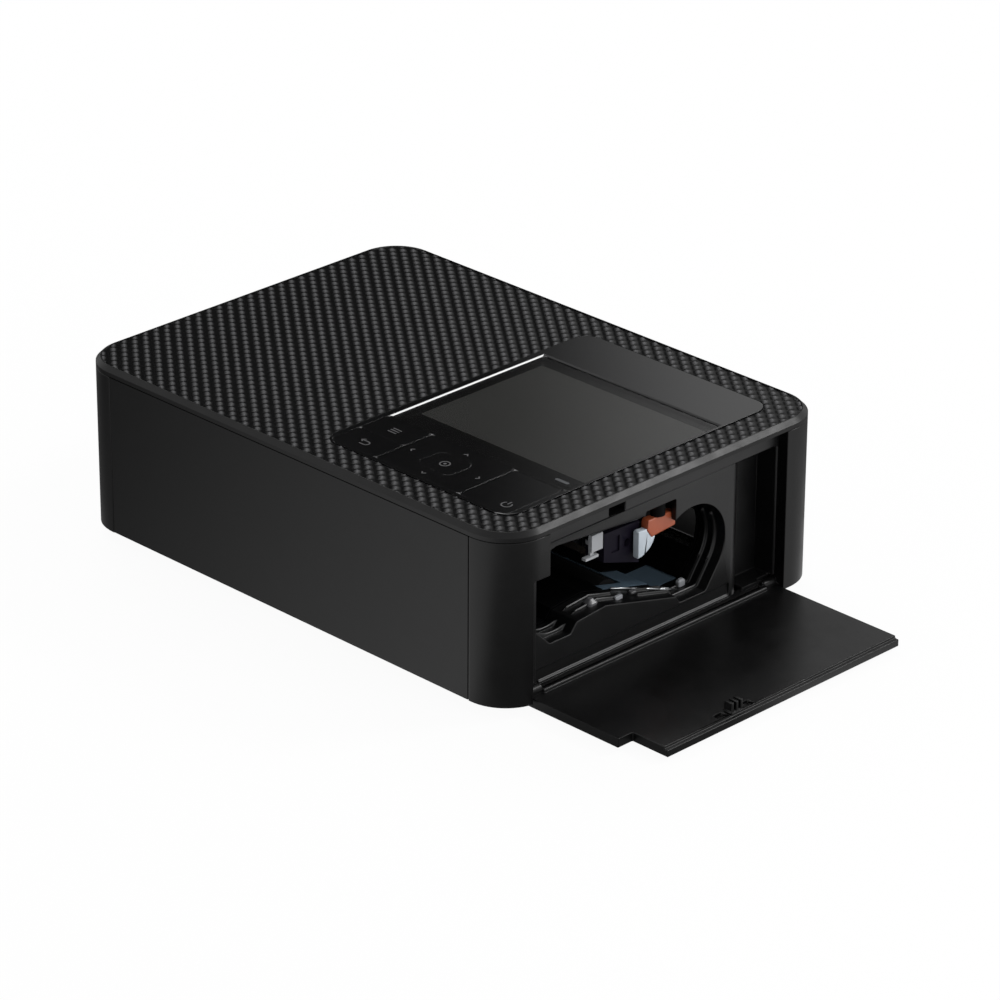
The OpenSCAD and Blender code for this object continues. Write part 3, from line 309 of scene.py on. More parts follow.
class Shell:
    """Collects the points and faces of one piece."""

    def __init__(self):
        self.points, self.faces = [], []

    def take(self, points, faces):
        start = len(self.points)
        self.points += [tuple(p) for p in points]
        self.faces += [tuple(i + start for i in face) for face in faces]

    def rings(self, rings):
        """A closed body through rings of equally many points."""
        count, last = len(rings[0]), len(rings) - 1
        faces = [tuple(range(count - 1, -1, -1)), tuple(last * count + i for i in range(count))]
        for level in range(last):
            low, high = level * count, (level + 1) * count
            pairs = [(i, (i + 1) % count) for i in range(count)]
            faces += [(low + i, low + j, high + j, high + i) for i, j in pairs]
        self.take([p for ring in rings for p in ring], faces)

    def prism(self, outline, z0, z1, chamfer=0.0):
        """An upright prism over a flat outline that runs counterclockwise."""
        rings = [(outline, z0), (outline, z1 - chamfer)]
        if chamfer:
            centre = np.mean(outline, axis=0)
            size = np.ptp(np.array(outline), axis=0).max() / 2
            drawn_in = centre + (np.array(outline) - centre) * (1 - chamfer / size)
            rings.append((drawn_in.tolist(), z1))
        self.rings([[(p[0], p[1], z) for p in ring] for ring, z in rings])

    def stroke(self, line, width, z0, z1, closed=False):
        """A raised line of even width along flat points."""
        line = [np.array(p, float) for p in line]
        count = len(line)
        left, right = [], []
        for i, point in enumerate(line):
            before = line[i - 1] if closed or i else None
            after = line[(i + 1) % count] if closed or i < count - 1 else None
            first = point - before if before is not None else after - point
            second = after - point if after is not None else first
            first, second = first / np.linalg.norm(first), second / np.linalg.norm(second)
            normal = np.array([-first[1] - second[1], first[0] + second[0]])
            normal /= np.linalg.norm(normal)
            # The limit stops the mitre of a sharp turn from running out too far
            shortest = 0.4
            reach = width / 2 / max(shortest, normal @ np.array([-first[1], first[0]]))
            left.append(point + normal * reach)
            right.append(point - normal * reach)
        points = [(p[0], p[1], z) for z in (z0, z1) for side in (left, right) for p in side]
        low_l, low_r, top_l, top_r = 0, count, 2 * count, 3 * count
        faces = []
        for i in range(count if closed else count - 1):
            j = (i + 1) % count
            faces += [
                (top_l + i, top_r + i, top_r + j, top_l + j),
                (low_l + j, low_r + j, low_r + i, low_l + i),
                (low_l + i, top_l + i, top_l + j, low_l + j),
                (low_r + j, top_r + j, top_r + i, low_r + i),
            ]
        if not closed:
            end = count - 1
            faces += [(low_l, low_r, top_r, top_l), (top_l + end, top_r + end, low_r + end, low_l + end)]
        self.take(points, faces)


def arc(centre, radius, start, end, steps):
    """Points of an arc between two angles in degrees."""
    return [(centre[0] + radius * math.cos(a), centre[1] + radius * math.sin(a))
            for a in np.radians(np.linspace(start, end, steps + 1))]


def round_box(x0, x1, y0, y1, radius):
    """Counterclockwise outline of a rectangle with round corners, each an arc in six steps."""
    points = []
    for cx, cy, start in ((x1 - radius, y0 + radius, -90), (x1 - radius, y1 - radius, 0),
                          (x0 + radius, y1 - radius, 90), (x0 + radius, y0 + radius, 180)):
        points += arc((cx, cy), radius, start, start + 90, 6)
    return points


def inside_round(points, x0, x1, y0, y1, radius):
    """Signed distance to a rectangle with round corners, negative inside."""
    half = np.array([(x1 - x0) / 2 - radius, (y1 - y0) / 2 - radius])
    centre = np.array([(x0 + x1) / 2, (y0 + y1) / 2])
    q = np.abs(points - centre) - half
    outer = np.linalg.norm(np.maximum(q, 0), axis=-1)
    return outer + np.minimum(np.maximum(q[..., 0], q[..., 1]), 0) - radius


# ---- Case ----


class PRINTER_OT_dress_case(bpy.types.Operator):
    """Satin finish and rounded edges of the case, flap, door, feet and screws"""

    bl_idname = "photo_printer.dress_case"
    bl_label = "Dress the case"

    def execute(self, context):
        case = context.scene.printer_case
        satin = moulded("case_plastic", case.colour, case.roughness, Specular_IOR_Level=0.2)
        dress(satin, "base_tray", "body_shell", "front_flap", "ribbon_door", "top_cover")
        soften(case.edge, "front_flap", "top_cover")
        soften(case.edge, "body_shell", "ribbon_door", clamp=False)
        rubber = moulded("roller_rubber", (0.007, 0.007, 0.0072), 0.7, grain=1800, depth=0.02,
                         Specular_IOR_Level=0.1)
        dress(rubber, "rubber_feet", "platen_roller", "pickup_roller")
        steel = worked_metal("bright_steel", (0.56, 0.56, 0.58), 0.24, along=(1, 12, 12))
        dress(steel, "base_screws", "flap_hinge_pins", "door_hinge_pins", "tie_rods", "head_pivot_rod",
              "platen_shaft", "pickup_shaft", "feed_roller", "pinch_roller", "lever_spring")
        return {"FINISHED"}


# ---- Woven top ----

# Depth of the woven field below the rim, and its distance from the edge of the case and from the panel
FIELD_DROP = 0.4
FIELD_RIM = 1.72
FIELD_GAP = 0.22
# Corner radii of the case and of the panel
CASE_CORNER = 14
PANEL_CORNER = 5.5
# Waves of the relief, in cycles for each millimetre along X and Y
STRAND_WAVE = (0.190, 0.234)
BEAD_WAVE = (0.195, -0.239)
# Samples over one cell: place and height across a strand, and along it
STRAND_STEPS = ((0.0, 0.0), (0.1, 0.12), (0.3, 0.55), (0.46, 0.95), (0.54, 1.0), (0.66, 0.62), (0.84, 0.14))
BEAD_STEPS = ((0.0, 0.16), (0.1, 0.42), (0.26, 0.92), (0.5, 1.0), (0.74, 0.92), (0.9, 0.42))


class PRINTER_OT_weave_top(bpy.types.Operator):
    """Woven relief of the top face, as real strands in the field inside the rim"""

    bl_idname = "photo_printer.weave_top"
    bl_label = "Weave the top"

    def execute(self, context):
        weave = context.scene.printer_weave
        low, high = node_box("top_cover")
        panel_low, panel_high = node_box("control_panel")
        field_z = high.z - FIELD_DROP
        finish = Finish("woven_top", Specular_IOR_Level=0.06)
        # Painted shade and highlight: the base colour is painted dark in the gaps of the strands, where shade
        # falls, and pale on their crests, where light catches them, by height with a little random unevenness
        height_axis = finish.add("ShaderNodeSeparateXYZ", Vector=finish.place).outputs["Z"]
        rise = finish.add("ShaderNodeMapRange", Value=height_axis, From_Min=field_z * MM,
                          From_Max=high.z * MM).outputs["Result"]
        uneven = 0.08
        random_shift = finish.join("MULTIPLY", finish.noise(420, 3, 0.6), 2 * uneven)
        level = finish.join("ADD", rise, finish.join("SUBTRACT", random_shift, uneven))
        finish.set("Base Color", finish.ramp(level, (0.28, shade(weave.colour, 0.1)), (0.55, weave.colour),
                                             (0.9, shade(weave.colour, 2.9))))
        finish.set("Roughness", finish.ramp(rise, (0.4, 0.25), (0.85, 0.32)))
        finish.set("Normal", finish.bump(finish.noise(5200, 2), 0.006))
        points, faces = self.relief(low, high, panel_low, panel_high, field_z, weave.relief / MM)
        make_piece("woven_relief", points, faces, "case", finish.material, smooth=True)
        return {"FINISHED"}

    def relief(self, low, high, panel_low, panel_high, field_z, relief):
        """Strands over the whole field, cut off along the rim and round the panel."""
        outer = (low.x + FIELD_RIM, high.x - FIELD_RIM, low.y + FIELD_RIM, high.y - FIELD_RIM,
                 CASE_CORNER - FIELD_RIM)
        inner = (panel_low.x - FIELD_GAP, panel_high.x + FIELD_GAP, panel_low.y - FIELD_GAP,
                 panel_high.y + FIELD_GAP, PANEL_CORNER + FIELD_GAP)

        def distance(points):
            return np.maximum(inside_round(points, *outer), -inside_round(points, *inner))

        waves = np.array([STRAND_WAVE, BEAD_WAVE])
        basis = np.linalg.inv(waves)
        # Half of a square that holds the whole field
        reach = 100
        cells = np.array([[x, y] for x in (-reach, reach) for y in (-reach, reach)]) @ waves.T
        u_cells = range(int(cells[:, 0].min()) - 1, int(cells[:, 0].max()) + 2)
        v_cells = range(int(cells[:, 1].min()) - 1, int(cells[:, 1].max()) + 2)
        u = np.array([c + s[0] for c in u_cells for s in STRAND_STEPS])
        v = np.array([c + s[0] for c in v_cells for s in BEAD_STEPS])
        across = np.array([s[1] for _ in u_cells for s in STRAND_STEPS])
        along = np.array([s[1] for _ in v_cells for s in BEAD_STEPS])
        flat = np.stack(np.meshgrid(u, v, indexing="ij"), -1) @ basis.T
        height = across[:, None] * along[None, :] * relief

        # A face is kept where one corner lies inside and none lies far outside
        depth = distance(flat)
        far = 2.5
        inside, near = depth < 0, depth < far
        quads = inside[:-1, :-1] | inside[1:, :-1] | inside[:-1, 1:] | inside[1:, 1:]
        quads &= near[:-1, :-1] & near[1:, :-1] & near[:-1, 1:] & near[1:, 1:]
        # Points past an edge slide back onto it
        step = 0.01
        for _ in range(4):
            over = np.maximum(distance(flat), 0)
            slope = np.stack([(distance(flat + d) - distance(flat - d)) / (2 * step)
                              for d in (np.array([step, 0.0]), np.array([0.0, step]))], -1)
            flat = flat - over[..., None] * slope
        # The strands stand a little above the field, and their cut ends run down into it
        lift, sink, margin = 0.02, 0.03, 0.02
        z = field_z + lift + height
        z[distance(flat) > -margin] = field_z - sink
        index = -np.ones(z.shape, int)
        used = np.zeros(z.shape, bool)
        for a, b in ((0, 0), (1, 0), (0, 1), (1, 1)):
            used[a:a + quads.shape[0], b:b + quads.shape[1]] |= quads
        index[used] = np.arange(used.sum())
        points = np.column_stack([flat[used], z[used]])
        i, j = np.nonzero(quads)
        faces = np.column_stack([index[i, j], index[i + 1, j], index[i + 1, j + 1], index[i, j + 1]])
        if np.linalg.det(basis) < 0:
            faces = faces[:, ::-1]
        return points.tolist(), faces.tolist()


# ---- Control panel ----


class PRINTER_OT_dress_panel(bpy.types.Operator):
    """Gloss of the panel and keys, the screen and its glass"""

    bl_idname = "photo_printer.dress_panel"
    bl_label = "Dress the panel"

    def execute(self, context):
        panel = context.scene.printer_panel
        gloss = polished("panel_gloss", panel.gloss, 0.09, Specular_IOR_Level=0.45)
        keys = ("menu_button", "back_button", "nav_pad", "ok_button", "power_button")
        dress(gloss, "control_panel", *keys)
        soften(0.00012, "control_panel", *keys)
        glass = polished("screen_glass", (0.008, 0.008, 0.008), 0.05, smudge=0.02, peel=0.0008,
                         Specular_IOR_Level=0.8, Alpha=0.45)
        dress(glass, "screen_glass")
        screen = Finish("screen_module", Specular_IOR_Level=0.2)
        dim, bright = (0.2, 0.2, 0.186), (0.212, 0.212, 0.197)
        screen.set("Base Color", screen.ramp(screen.noise(30, 2), (0.3, dim), (0.7, bright)))
        screen.set("Roughness", screen.ramp(screen.noise(2500, 2), (0.3, 0.34), (0.7, 0.42)))
        screen.set("Normal", screen.bump(screen.noise(7000, 1), 0.0004))
        dress(screen.material, "lcd_module")
        light = polished("light_pipe", (0.07, 0.074, 0.078), 0.2, Specular_IOR_Level=0.4)
        dress(light, "status_light")
        return {"FINISHED"}


class PRINTER_OT_mark_keys(bpy.types.Operator):
    """Printed marks on the keys: three bars, return arrow, chevrons, ring and power sign"""

    bl_idname = "photo_printer.mark_keys"
    bl_label = "Mark the keys"

    def execute(self, context):
        panel = context.scene.printer_panel
        paint = moulded("mark_paint", panel.mark, 0.45, grain=2600, depth=0.004, Specular_IOR_Level=0.3)
        width = panel.stroke / MM
        for name, body, draw in (
            ("menu_mark", "menu_button", self.bars), ("back_mark", "back_button", self.hook),
            ("nav_marks", "nav_pad", self.chevrons), ("ok_mark", "ok_button", self.ring),
            ("power_mark", "power_button", self.power),
        ):
            low, high = node_box(body)
            shell = Shell()
            sunk, proud = 0.02, 0.04
            draw(shell, low, high, width, (high.z - sunk, high.z + proud))
            make_piece(name, shell.points, shell.faces, body, paint)
        return {"FINISHED"}

    def bars(self, shell, low, high, width, z):
        cx, cy = (low.x + high.x) / 2, (low.y + high.y) / 2 - 0.4
        half, apart = 1.7, 1.15
        for row in (-1, 0, 1):
            shell.stroke([(cx - half, cy + apart * row), (cx + half, cy + apart * row)], width, *z)

    def hook(self, shell, low, high, width, z):
        cx, cy = (low.x + high.x) / 2 - 0.6, (low.y + high.y) / 2 - 0.4
        bend = arc((cx + 0.9, cy - 0.3), 1.1, 90, -90, 12)
        shell.stroke([(cx - 1.6, cy + 0.8), (cx + 0.9, cy + 0.8), *bend, (cx - 0.8, cy - 1.4)], width, *z)
        shell.stroke([(cx - 0.9, cy + 1.7), (cx - 1.85, cy + 0.8), (cx - 0.9, cy - 0.1)], width, *z)

    def chevrons(self, shell, low, high, width, z):
        cx, cy = (low.x + high.x) / 2, (low.y + high.y) / 2
        arms = [(-0.35, 0.8), (0.45, 0.0), (-0.35, -0.8)]
        for turn, out in ((0, 13.4), (180, 13.4), (90, 8.6), (270, 8.6)):
            c, s = math.cos(math.radians(turn)), math.sin(math.radians(turn))
            line = [(cx + (out + x) * c - y * s, cy + (out + x) * s + y * c) for x, y in arms]
            shell.stroke(line, width, *z)

    def ring(self, shell, low, high, width, z):
        centre = ((low.x + high.x) / 2, (low.y + high.y) / 2)
        ring_radius, dot_radius = 1.5, 0.5
        shell.stroke(arc(centre, ring_radius, 0, 345, 23), width, *z, closed=True)
        shell.prism(arc(centre, dot_radius, 0, 337.5, 15), *z)

    def power(self, shell, low, high, width, z):
        centre = (high.x - 4.4, low.y + 4.6)
        shell.stroke(arc(centre, 1.55, 130, 410, 28), width, *z)
        shell.stroke([(centre[0], centre[1] + 0.3), (centre[0], centre[1] + 2.1)], width, *z)


# ---- Ribbon bay ----


class PRINTER_OT_dress_bay(bpy.types.Operator):
    """Finishes of the ribbon bay: plate, cradle, lever, pawl and sensor"""

    bl_idname = "photo_printer.dress_bay"
    bl_label = "Dress the ribbon bay"

    def execute(self, context):
        bay = context.scene.printer_bay
        inner = moulded("inner_plastic", (0.0028, 0.0028, 0.003), 0.36, Specular_IOR_Level=0.3)
        dress(inner, "bay_frame", "dc_inlet")
        dress(moulded("slide_plastic", (0.002, 0.002, 0.0022), 0.6, Specular_IOR_Level=0.06), "lever_slide")
        soften(0.00034, "bay_frame", clamp=False)
        dress(moulded("lever_orange", bay.lever, 0.38, Specular_IOR_Level=0.5), "release_lever")
        soften(0.0003, "release_lever", "latch_pawl")
        nylon = moulded("white_nylon", bay.nylon, 0.4, Specular_IOR_Level=0.5)
        dress(nylon, "latch_pawl", "takeup_gear", "feed_gear", "pickup_gear", "idler_gear")
        dress(moulded("hub_plastic", (0.5, 0.5, 0.48), 0.45), "takeup_hub", "supply_hub")
        dress(moulded("sensor_plastic", (0.42, 0.43, 0.45), 0.45), "ribbon_sensor")
        cradle = Finish("cradle_steel", Metallic=0.35)
        cradle.tone(cradle.noise(60, 3), bay.cradle, 0.15)
        drawn = cradle.noise(300, 3, 0.6, cradle.stretched((0.1, 1, 1)))
        cradle.set("Roughness", cradle.ramp(drawn, (0.3, 0.34), (0.7, 0.46)))
        cradle.set("Normal", cradle.bump(cradle.noise(2400, 2), 0.006))
        dress(cradle.material, "ribbon_cradle")
        coated = moulded("coated_steel", (0.003, 0.003, 0.0034), 0.45, grain=2200, depth=0.01,
                         Specular_IOR_Level=0.06)
        dress(coated, "paper_guide", "right_side_frame")
        return {"FINISHED"}


# Painted shade: a near-black sheet on the cradle stands for the shade deep in the bay; its thickness, and
# where it starts and ends along X
SHADE_SHEET_THICK = 0.35
SHADE_SHEET_LEFT = -28.0
SHADE_SHEET_RIGHT = 76.5
# Where the flat and falling strips behind the platen end, so that the sheet under them shows
SHADE_SHEET_SHORT = 63.5
# Sections of the shade sheet as Y and Z, from front to back
SUPPLY_SECTION = ((-50.5, 23.7), (-44.35, 17.85), (-36.3, 17.85), (-33.75, 20.9), (-31.0, 21.2),
                  (-24.0, 21.75), (-21.8, 21.9), (-12.6, 19.55))
TAKEUP_SECTION = ((0.5, 16.25), (7.6, 14.45), (8.95, 12.15), (19.75, 12.15), (23.6, 17.4), (24.48, 18.39),
                  (25.46, 19.72))
# Edges of the strips along X, and the strips left open over the pickup rollers: span, then section
SUPPLY_SPANS = (SHADE_SHEET_LEFT, -18.0, -6.0, 26.0, 38.0, SHADE_SHEET_SHORT, SHADE_SHEET_RIGHT)
SUPPLY_OPENINGS = ((1, 4), (3, 4))
# Lugs beside the mouth: X from and to, Y from and to, Z from and to, and the chamfer of the top
PALE_LUGS = ((83, 84, -14.9, -11.9, 19.5, 20.7, 0.25), (78.8, 80.4, 15.6, 18.4, 12, 14.2, 0.6))
GREY_LUGS = ((80.8, 84.4, -25.9, -22.3, 20.8, 23.2, 1.1), (81.4, 83.0, -18.8, -16.6, 20.3, 20.9, 0.2),
             (80.8, 82.4, -6.6, -4.4, 18.2, 18.8, 0.2))
# Rods beside the mouth: the two ends and the radius
GUIDE_RODS = (((76.03, -9.0, 18.71), (77.9, -2.4, 17.1), 0.36), ((77.9, -2.4, 17.1), (80.9, 6.6, 14.8), 0.36),
              ((80.9, 6.6, 14.8), (80.9, 13.2, 12.5), 0.36), ((75.6, 9.6, 12.7), (79.4, 12.6, 12.4), 0.3))


class PRINTER_OT_fit_bay(bpy.types.Operator):
    """Near-black sheet of painted shade under the two spools, and the lugs and rods beside the mouth"""

    bl_idname = "photo_printer.fit_bay"
    bl_label = "Fit the ribbon bay"

    def execute(self, context):
        # Painted shade: near black with almost no gloss, so the sheet reads as the shade inside the bay
        shade_black = moulded("bay_shade_sheet", (0.0014, 0.0014, 0.0016), 0.5, Specular_IOR_Level=0.05)
        self.shade_sheets(shade_black)
        pale = moulded("bay_lugs", (0.34, 0.35, 0.37), 0.35, Specular_IOR_Level=0.5)
        grey = moulded("bay_buttons", (0.1, 0.1, 0.105), 0.35, Specular_IOR_Level=0.5)
        for name, finish, blocks in (("ribbon_lugs", pale, PALE_LUGS), ("guide_lugs", grey, GREY_LUGS)):
            shell = Shell()
            for x0, x1, y0, y1, z0, z1, chamfer in blocks:
                shell.prism(round_box(x0, x1, y0, y1, min(x1 - x0, y1 - y0) * 0.3), z0, z1, chamfer)
            make_piece(name, shell.points, shell.faces, "case", finish)
        rods = Shell()
        for first, last, radius in GUIDE_RODS:
            self.rod(rods, first, last, radius)
        steel = worked_metal("guide_rod_steel", (0.34, 0.35, 0.36), 0.3, along=(4, 1, 1))
        make_piece("ribbon_guide_rods", rods.points, rods.faces, "case", steel, smooth=True)
        return {"FINISHED"}

    def shade_sheets(self, material):
        """A thin near-black sheet on the cradle, in front of the platen and behind it, painted shade for the
        deep bay.
        """
        shell = Shell()
        for column, (x0, x1) in enumerate(zip(SUPPLY_SPANS, SUPPLY_SPANS[1:])):
            for row, (front, back) in enumerate(zip(SUPPLY_SECTION, SUPPLY_SECTION[1:])):
                if (column, row) not in SUPPLY_OPENINGS:
                    self.sheet(shell, x0, x1, front, back)
        make_piece("supply_shade_sheet", shell.points, shell.faces, "case", material)
        shell = Shell()
        for front, back in zip(TAKEUP_SECTION, TAKEUP_SECTION[1:]):
            rising = back[1] > front[1]
            self.sheet(shell, SHADE_SHEET_LEFT, SHADE_SHEET_RIGHT if rising else SHADE_SHEET_SHORT, front, back)
        make_piece("takeup_shade_sheet", shell.points, shell.faces, "case", material)

    def sheet(self, shell, x0, x1, front, back):
        """One flat strip of the shade sheet between two points of its section."""
        corners = ((x0, *front), (x1, *front), (x1, *back), (x0, *back))
        shell.rings([[(x, y, z + rise) for x, y, z in corners] for rise in (0, SHADE_SHEET_THICK)])

    def rod(self, shell, first, last, radius):
        """A round rod with slightly drawn-in ends."""
        a, b = Vector(first), Vector(last)
        along = (b - a).normalized()
        side = along.orthogonal().normalized()
        other = along.cross(side)
        length, end = (b - a).length, radius * 0.4
        turns = np.linspace(0, 2 * math.pi, 12, endpoint=False)
        around = [side * math.cos(w) + other * math.sin(w) for w in turns]
        stations = ((0, radius - end), (end, radius), (length - end, radius), (length, radius - end))
        shell.rings([[tuple(a + along * at + way * r) for way in around] for at, r in stations])


class PRINTER_OT_dress_drive(bpy.types.Operator):
    """Finishes of the frames, print head, motor and electronics"""

    bl_idname = "photo_printer.dress_drive"
    bl_label = "Dress the drive"

    def execute(self, context):
        plated = worked_metal("plated_steel", (0.11, 0.112, 0.12), 0.4, along=(1, 0.3, 6), grain=500)
        dress(plated, "left_side_frame", "gear_plate", "head_arms")
        aluminium = worked_metal("head_aluminium", (0.5, 0.51, 0.53), 0.34, along=(0.06, 3, 3), grain=700)
        dress(aluminium, "head_heatsink")
        dress(moulded("head_ceramic", (0.035, 0.03, 0.026), 0.25, Specular_IOR_Level=0.4), "thermal_head")
        dress(moulded("head_cap", (0.009, 0.0075, 0.014), 0.4, Specular_IOR_Level=0.08), "head_end_cap")
        soften(0.00025, "head_end_cap")
        sockets = worked_metal("socket_metal", (0.5, 0.5, 0.52), 0.26, along=(4, 1, 1))
        dress(sockets, "usb_c_port", "usb_a_port", "card_slot")
        dress(worked_metal("motor_steel", (0.4, 0.41, 0.43), 0.32, along=(0.2, 5, 5)), "drive_motor")
        dress(worked_metal("brass", (0.6, 0.42, 0.16), 0.28, along=(0.2, 5, 5)), "motor_pinion")
        board = Finish("circuit_board", Specular_IOR_Level=0.5)
        brick = board.add("ShaderNodeTexBrick", Vector=board.place, Scale=260.0, Mortar_Size=0.03)
        traces = brick.outputs["Fac"]
        board.set("Base Color", board.ramp(traces, (0.0, (0.012, 0.085, 0.04)), (1.0, (0.03, 0.16, 0.07))))
        board.set("Roughness", board.ramp(board.noise(400, 3), (0.3, 0.24), (0.7, 0.36)))
        board.set("Normal", board.bump(traces, 0.02))
        dress(board.material, "main_board", "key_board")
        return {"FINISHED"}


# ---- Stage ----


# Lamps: share of the main lamp's power, side of the square, place, and the point it faces
LAMPS = (
    ("key_lamp", 1.0, 0.9, (-0.9, 0.35, 1.1), (0, 0, 0.03)),
    ("front_lamp", 0.7, 1.1, (-0.5, -1.5, 0.7), (0, 0, 0.03)),
    ("side_lamp", 0.2, 0.4, (0.75, 0.1, 0.42), (0.06, 0, 0.03)),
    ("edge_lamp", 0.85, 0.34, (0.64, 0.96, 0.98), (0.03, 0, 0.04)),
)
# Share of the floor's look that glows, and the strength of the light from all round
FLOOR_GLOW = 0.95
WORLD_LEVEL = 0.35
WHITE = (1, 1, 1, 1)
# The point the camera looks at, and the width of its sensor in millimetres
CAMERA_TARGET = (0.015799, 0.006256, 0.021478)
SENSOR_WIDTH = 36.0


class PRINTER_OT_set_stage(bpy.types.Operator):
    """Pale floor, soft lamps, world light and camera"""

    bl_idname = "photo_printer.set_stage"
    bl_label = "Set the stage"

    def execute(self, context):
        stage = context.scene.printer_stage
        scene = context.scene
        scene.view_settings.view_transform = "Standard"
        self.floor()
        self.card()
        self.world(scene)
        for name, share, size, at, look in LAMPS:
            data = bpy.data.lights.new(name, "AREA")
            data.shape, data.size, data.energy = "SQUARE", size, stage.lamp * share
            lamp = bpy.data.objects.new(name, data)
            scene.collection.objects.link(lamp)
            lamp.location = at
            lamp.rotation_euler = (Vector(look) - Vector(at)).to_track_quat("-Z", "Y").to_euler()
        self.camera(scene, stage)
        return {"FINISHED"}

    def plate(self, name, corners):
        """A flat piece of the stage with an empty material; returns it with the material's nodes."""
        mesh = bpy.data.meshes.new(name)
        mesh.from_pydata([tuple(c) for c in corners], [], [(0, 1, 2, 3)])
        material = bpy.data.materials.new(name)
        material.use_nodes = True
        mesh.materials.append(material)
        made = bpy.data.objects.new(name, mesh)
        bpy.context.scene.collection.objects.link(made)
        return made, material.node_tree

    def floor(self):
        """A pale floor that is white to the camera, keeps the shadow, and is graded for gloss."""
        half = 4.0
        corners = [(-half, -half, 0), (half, -half, 0), (half, half, 0), (-half, half, 0)]
        floor, tree = self.plate("studio_floor", corners)
        shader = tree.nodes["Principled BSDF"]
        shader.inputs["Base Color"].default_value = (0.9, 0.9, 0.9, 1)
        shader.inputs["Roughness"].default_value = 0.9
        glow = tree.nodes.new("ShaderNodeEmission")
        glow.inputs["Color"].default_value = WHITE
        # Painted shade: a darker patch of the floor, seen only in gloss, darkens the reflection in the round
        # corner beside the bay
        shade_patch = self.shaded(tree, (0.165, -0.085, 0), places=(0.07, 0.105), levels=(0.2, 1.0))
        strength = self.graded(tree, (0.8, -0.6, 0), places=(-0.09, 0.16), levels=(0.11, 1.5), shade_patch=shade_patch)
        tree.links.new(strength, glow.inputs["Strength"])
        mix = tree.nodes.new("ShaderNodeMixShader")
        share = tree.nodes.new("ShaderNodeMath")
        share.operation = "MULTIPLY"
        share.inputs[1].default_value = FLOOR_GLOW
        tree.links.new(self.seen(tree), share.inputs[0])
        tree.links.new(share.outputs[0], mix.inputs[0])
        tree.links.new(shader.outputs[0], mix.inputs[1])
        tree.links.new(glow.outputs[0], mix.inputs[2])
        tree.links.new(mix.outputs[0], tree.nodes["Material Output"].inputs["Surface"])

    def card(self):
        """A graded card behind and to the left, which only gloss shows."""
        middle = Vector((-0.623, 0.645, 0.448))
        across = Vector((0.7071, 0.7071, 0))
        up = Vector((0.302, -0.302, 0.904))
        half, below, above = 0.7, 0.42, 0.35
        corners = [middle + across * a + up * b for a, b in (
            (-half, -below), (half, -below), (half, above), (-half, above))]
        card, tree = self.plate("graded_card", corners)
        glow = tree.nodes.new("ShaderNodeEmission")
        strength = self.graded(tree, across, places=(0.0, 0.15), levels=(0.022, 0.74))
        tree.links.new(strength, glow.inputs["Strength"])
        tree.links.new(glow.outputs[0], tree.nodes["Material Output"].inputs["Surface"])
        card.visible_camera = card.visible_diffuse = card.visible_shadow = False
        card.visible_transmission = card.visible_volume_scatter = False

    def shaded(self, tree, vector, places, levels, measure="DISTANCE"):
        """A level that rises smoothly between two places, by distance from a point or along a direction."""
        place = tree.nodes.new("ShaderNodeTexCoord")
        reach = tree.nodes.new("ShaderNodeVectorMath")
        reach.operation = measure
        reach.inputs[1].default_value = vector
        tree.links.new(place.outputs["Object"], reach.inputs[0])
        grade = tree.nodes.new("ShaderNodeMapRange")
        grade.interpolation_type = "SMOOTHSTEP"
        for socket, value in zip(("From Min", "From Max", "To Min", "To Max"), (*places, *levels)):
            grade.inputs[socket].default_value = value
        tree.links.new(reach.outputs["Value"], grade.inputs["Value"])
        return grade.outputs["Result"]

    def graded(self, tree, along, places, levels, shade_patch=None):
        """A strength for gloss that rises along one direction; every other ray gets 1."""
        level = self.shaded(tree, along, places, levels, "DOT_PRODUCT")
        if shade_patch is not None:
            both = tree.nodes.new("ShaderNodeMath")
            both.operation = "MULTIPLY"
            tree.links.new(level, both.inputs[0])
            tree.links.new(shade_patch, both.inputs[1])
            level = both.outputs[0]
        path = tree.nodes.new("ShaderNodeLightPath")
        blend = tree.nodes.new("ShaderNodeMix")
        blend.inputs["A"].default_value = 1.0
        tree.links.new(path.outputs["Is Glossy Ray"], blend.inputs["Factor"])
        tree.links.new(level, blend.inputs["B"])
        return blend.outputs["Result"]

    def seen(self, tree):
        """1 for rays from the camera, from gloss and through glass."""
        path = tree.nodes.new("ShaderNodeLightPath")
        total = path.outputs["Is Camera Ray"]
        for ray in ("Is Glossy Ray", "Is Transmission Ray"):
            most = tree.nodes.new("ShaderNodeMath")
            most.operation = "MAXIMUM"
            tree.links.new(total, most.inputs[0])
            tree.links.new(path.outputs[ray], most.inputs[1])
            total = most.outputs[0]
        return total

    def world(self, scene):
        """Plain light from all round, and a white background where it is seen."""
        world = bpy.data.worlds.new("studio_world")
        scene.world = world
        world.use_nodes = True
        tree = world.node_tree
        plain = tree.nodes["Background"]
        plain.inputs["Color"].default_value = WHITE
        plain.inputs["Strength"].default_value = WORLD_LEVEL
        white = tree.nodes.new("ShaderNodeBackground")
        white.inputs["Color"].default_value = WHITE
        white.inputs["Strength"].default_value = 1.0
        mix = tree.nodes.new("ShaderNodeMixShader")
        tree.links.new(self.seen(tree), mix.inputs[0])
        tree.links.new(plain.outputs[0], mix.inputs[1])
        tree.links.new(white.outputs[0], mix.inputs[2])
        tree.links.new(mix.outputs[0], tree.nodes["World Output"].inputs["Surface"])

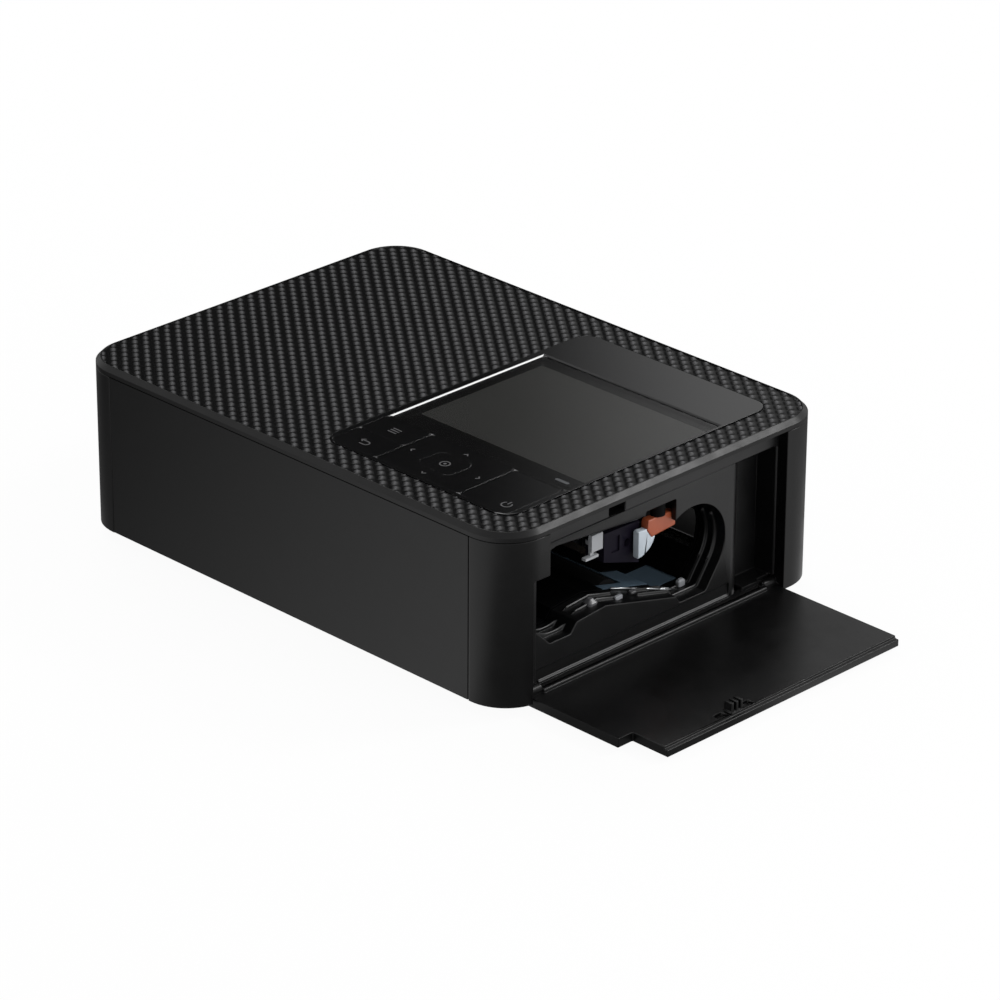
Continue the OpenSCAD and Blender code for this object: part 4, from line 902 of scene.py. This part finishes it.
    def camera(self, scene, stage):
        """The photo's viewpoint."""
        a, e = stage.azimuth, stage.elevation
        back = Vector((math.sin(a) * math.cos(e), -math.cos(a) * math.cos(e), math.sin(e)))
        right = Vector((math.cos(a), math.sin(a), 0))
        up = back.cross(right)
        turned_right = right * math.cos(stage.roll) + up * math.sin(stage.roll)
        turned_up = up * math.cos(stage.roll) - right * math.sin(stage.roll)
        data = bpy.data.cameras.new("photo_camera")
        data.lens, data.sensor_width = stage.lens, SENSOR_WIDTH
        data.clip_start, data.clip_end = 0.05, 50
        camera = bpy.data.objects.new("photo_camera", data)
        scene.collection.objects.link(camera)
        turn = Matrix((turned_right, turned_up, back)).transposed()
        stand = Vector(CAMERA_TARGET) + back * stage.distance
        camera.matrix_world = Matrix.Translation(stand) @ turn.to_4x4()
        scene.camera = camera


OPERATORS = (
    PRINTER_OT_set_stage,
    PRINTER_OT_dress_case,
    PRINTER_OT_weave_top,
    PRINTER_OT_dress_panel,
    PRINTER_OT_mark_keys,
    PRINTER_OT_dress_bay,
    PRINTER_OT_fit_bay,
    PRINTER_OT_dress_drive,
)


class VIEW3D_PT_photo_printer(bpy.types.Panel):
    """Sidebar panel with the settings and steps of the photo printer"""

    bl_label = "Photo printer"
    bl_idname = "VIEW3D_PT_photo_printer"
    bl_space_type = "VIEW_3D"
    bl_region_type = "UI"
    bl_category = "Photo printer"

    def draw(self, context):
        for name, group in SETTINGS:
            box = self.layout.box()
            settings = getattr(context.scene, name)
            for prop in group.__annotations__:
                box.prop(settings, prop)
        for operator in OPERATORS:
            self.layout.operator(operator.bl_idname)


def register():
    for name, group in SETTINGS:
        bpy.utils.register_class(group)
        setattr(bpy.types.Scene, name, PointerProperty(type=group))
    for cls in (*OPERATORS, VIEW3D_PT_photo_printer):
        bpy.utils.register_class(cls)


def unregister():
    for cls in (VIEW3D_PT_photo_printer, *reversed(OPERATORS)):
        bpy.utils.unregister_class(cls)
    for name, group in reversed(SETTINGS):
        delattr(bpy.types.Scene, name)
        bpy.utils.unregister_class(group)


def main():
    register()
    for operator in OPERATORS:
        module, name = operator.bl_idname.split(".")
        getattr(getattr(bpy.ops, module), name)()


if __name__ == "__main__":
    main()
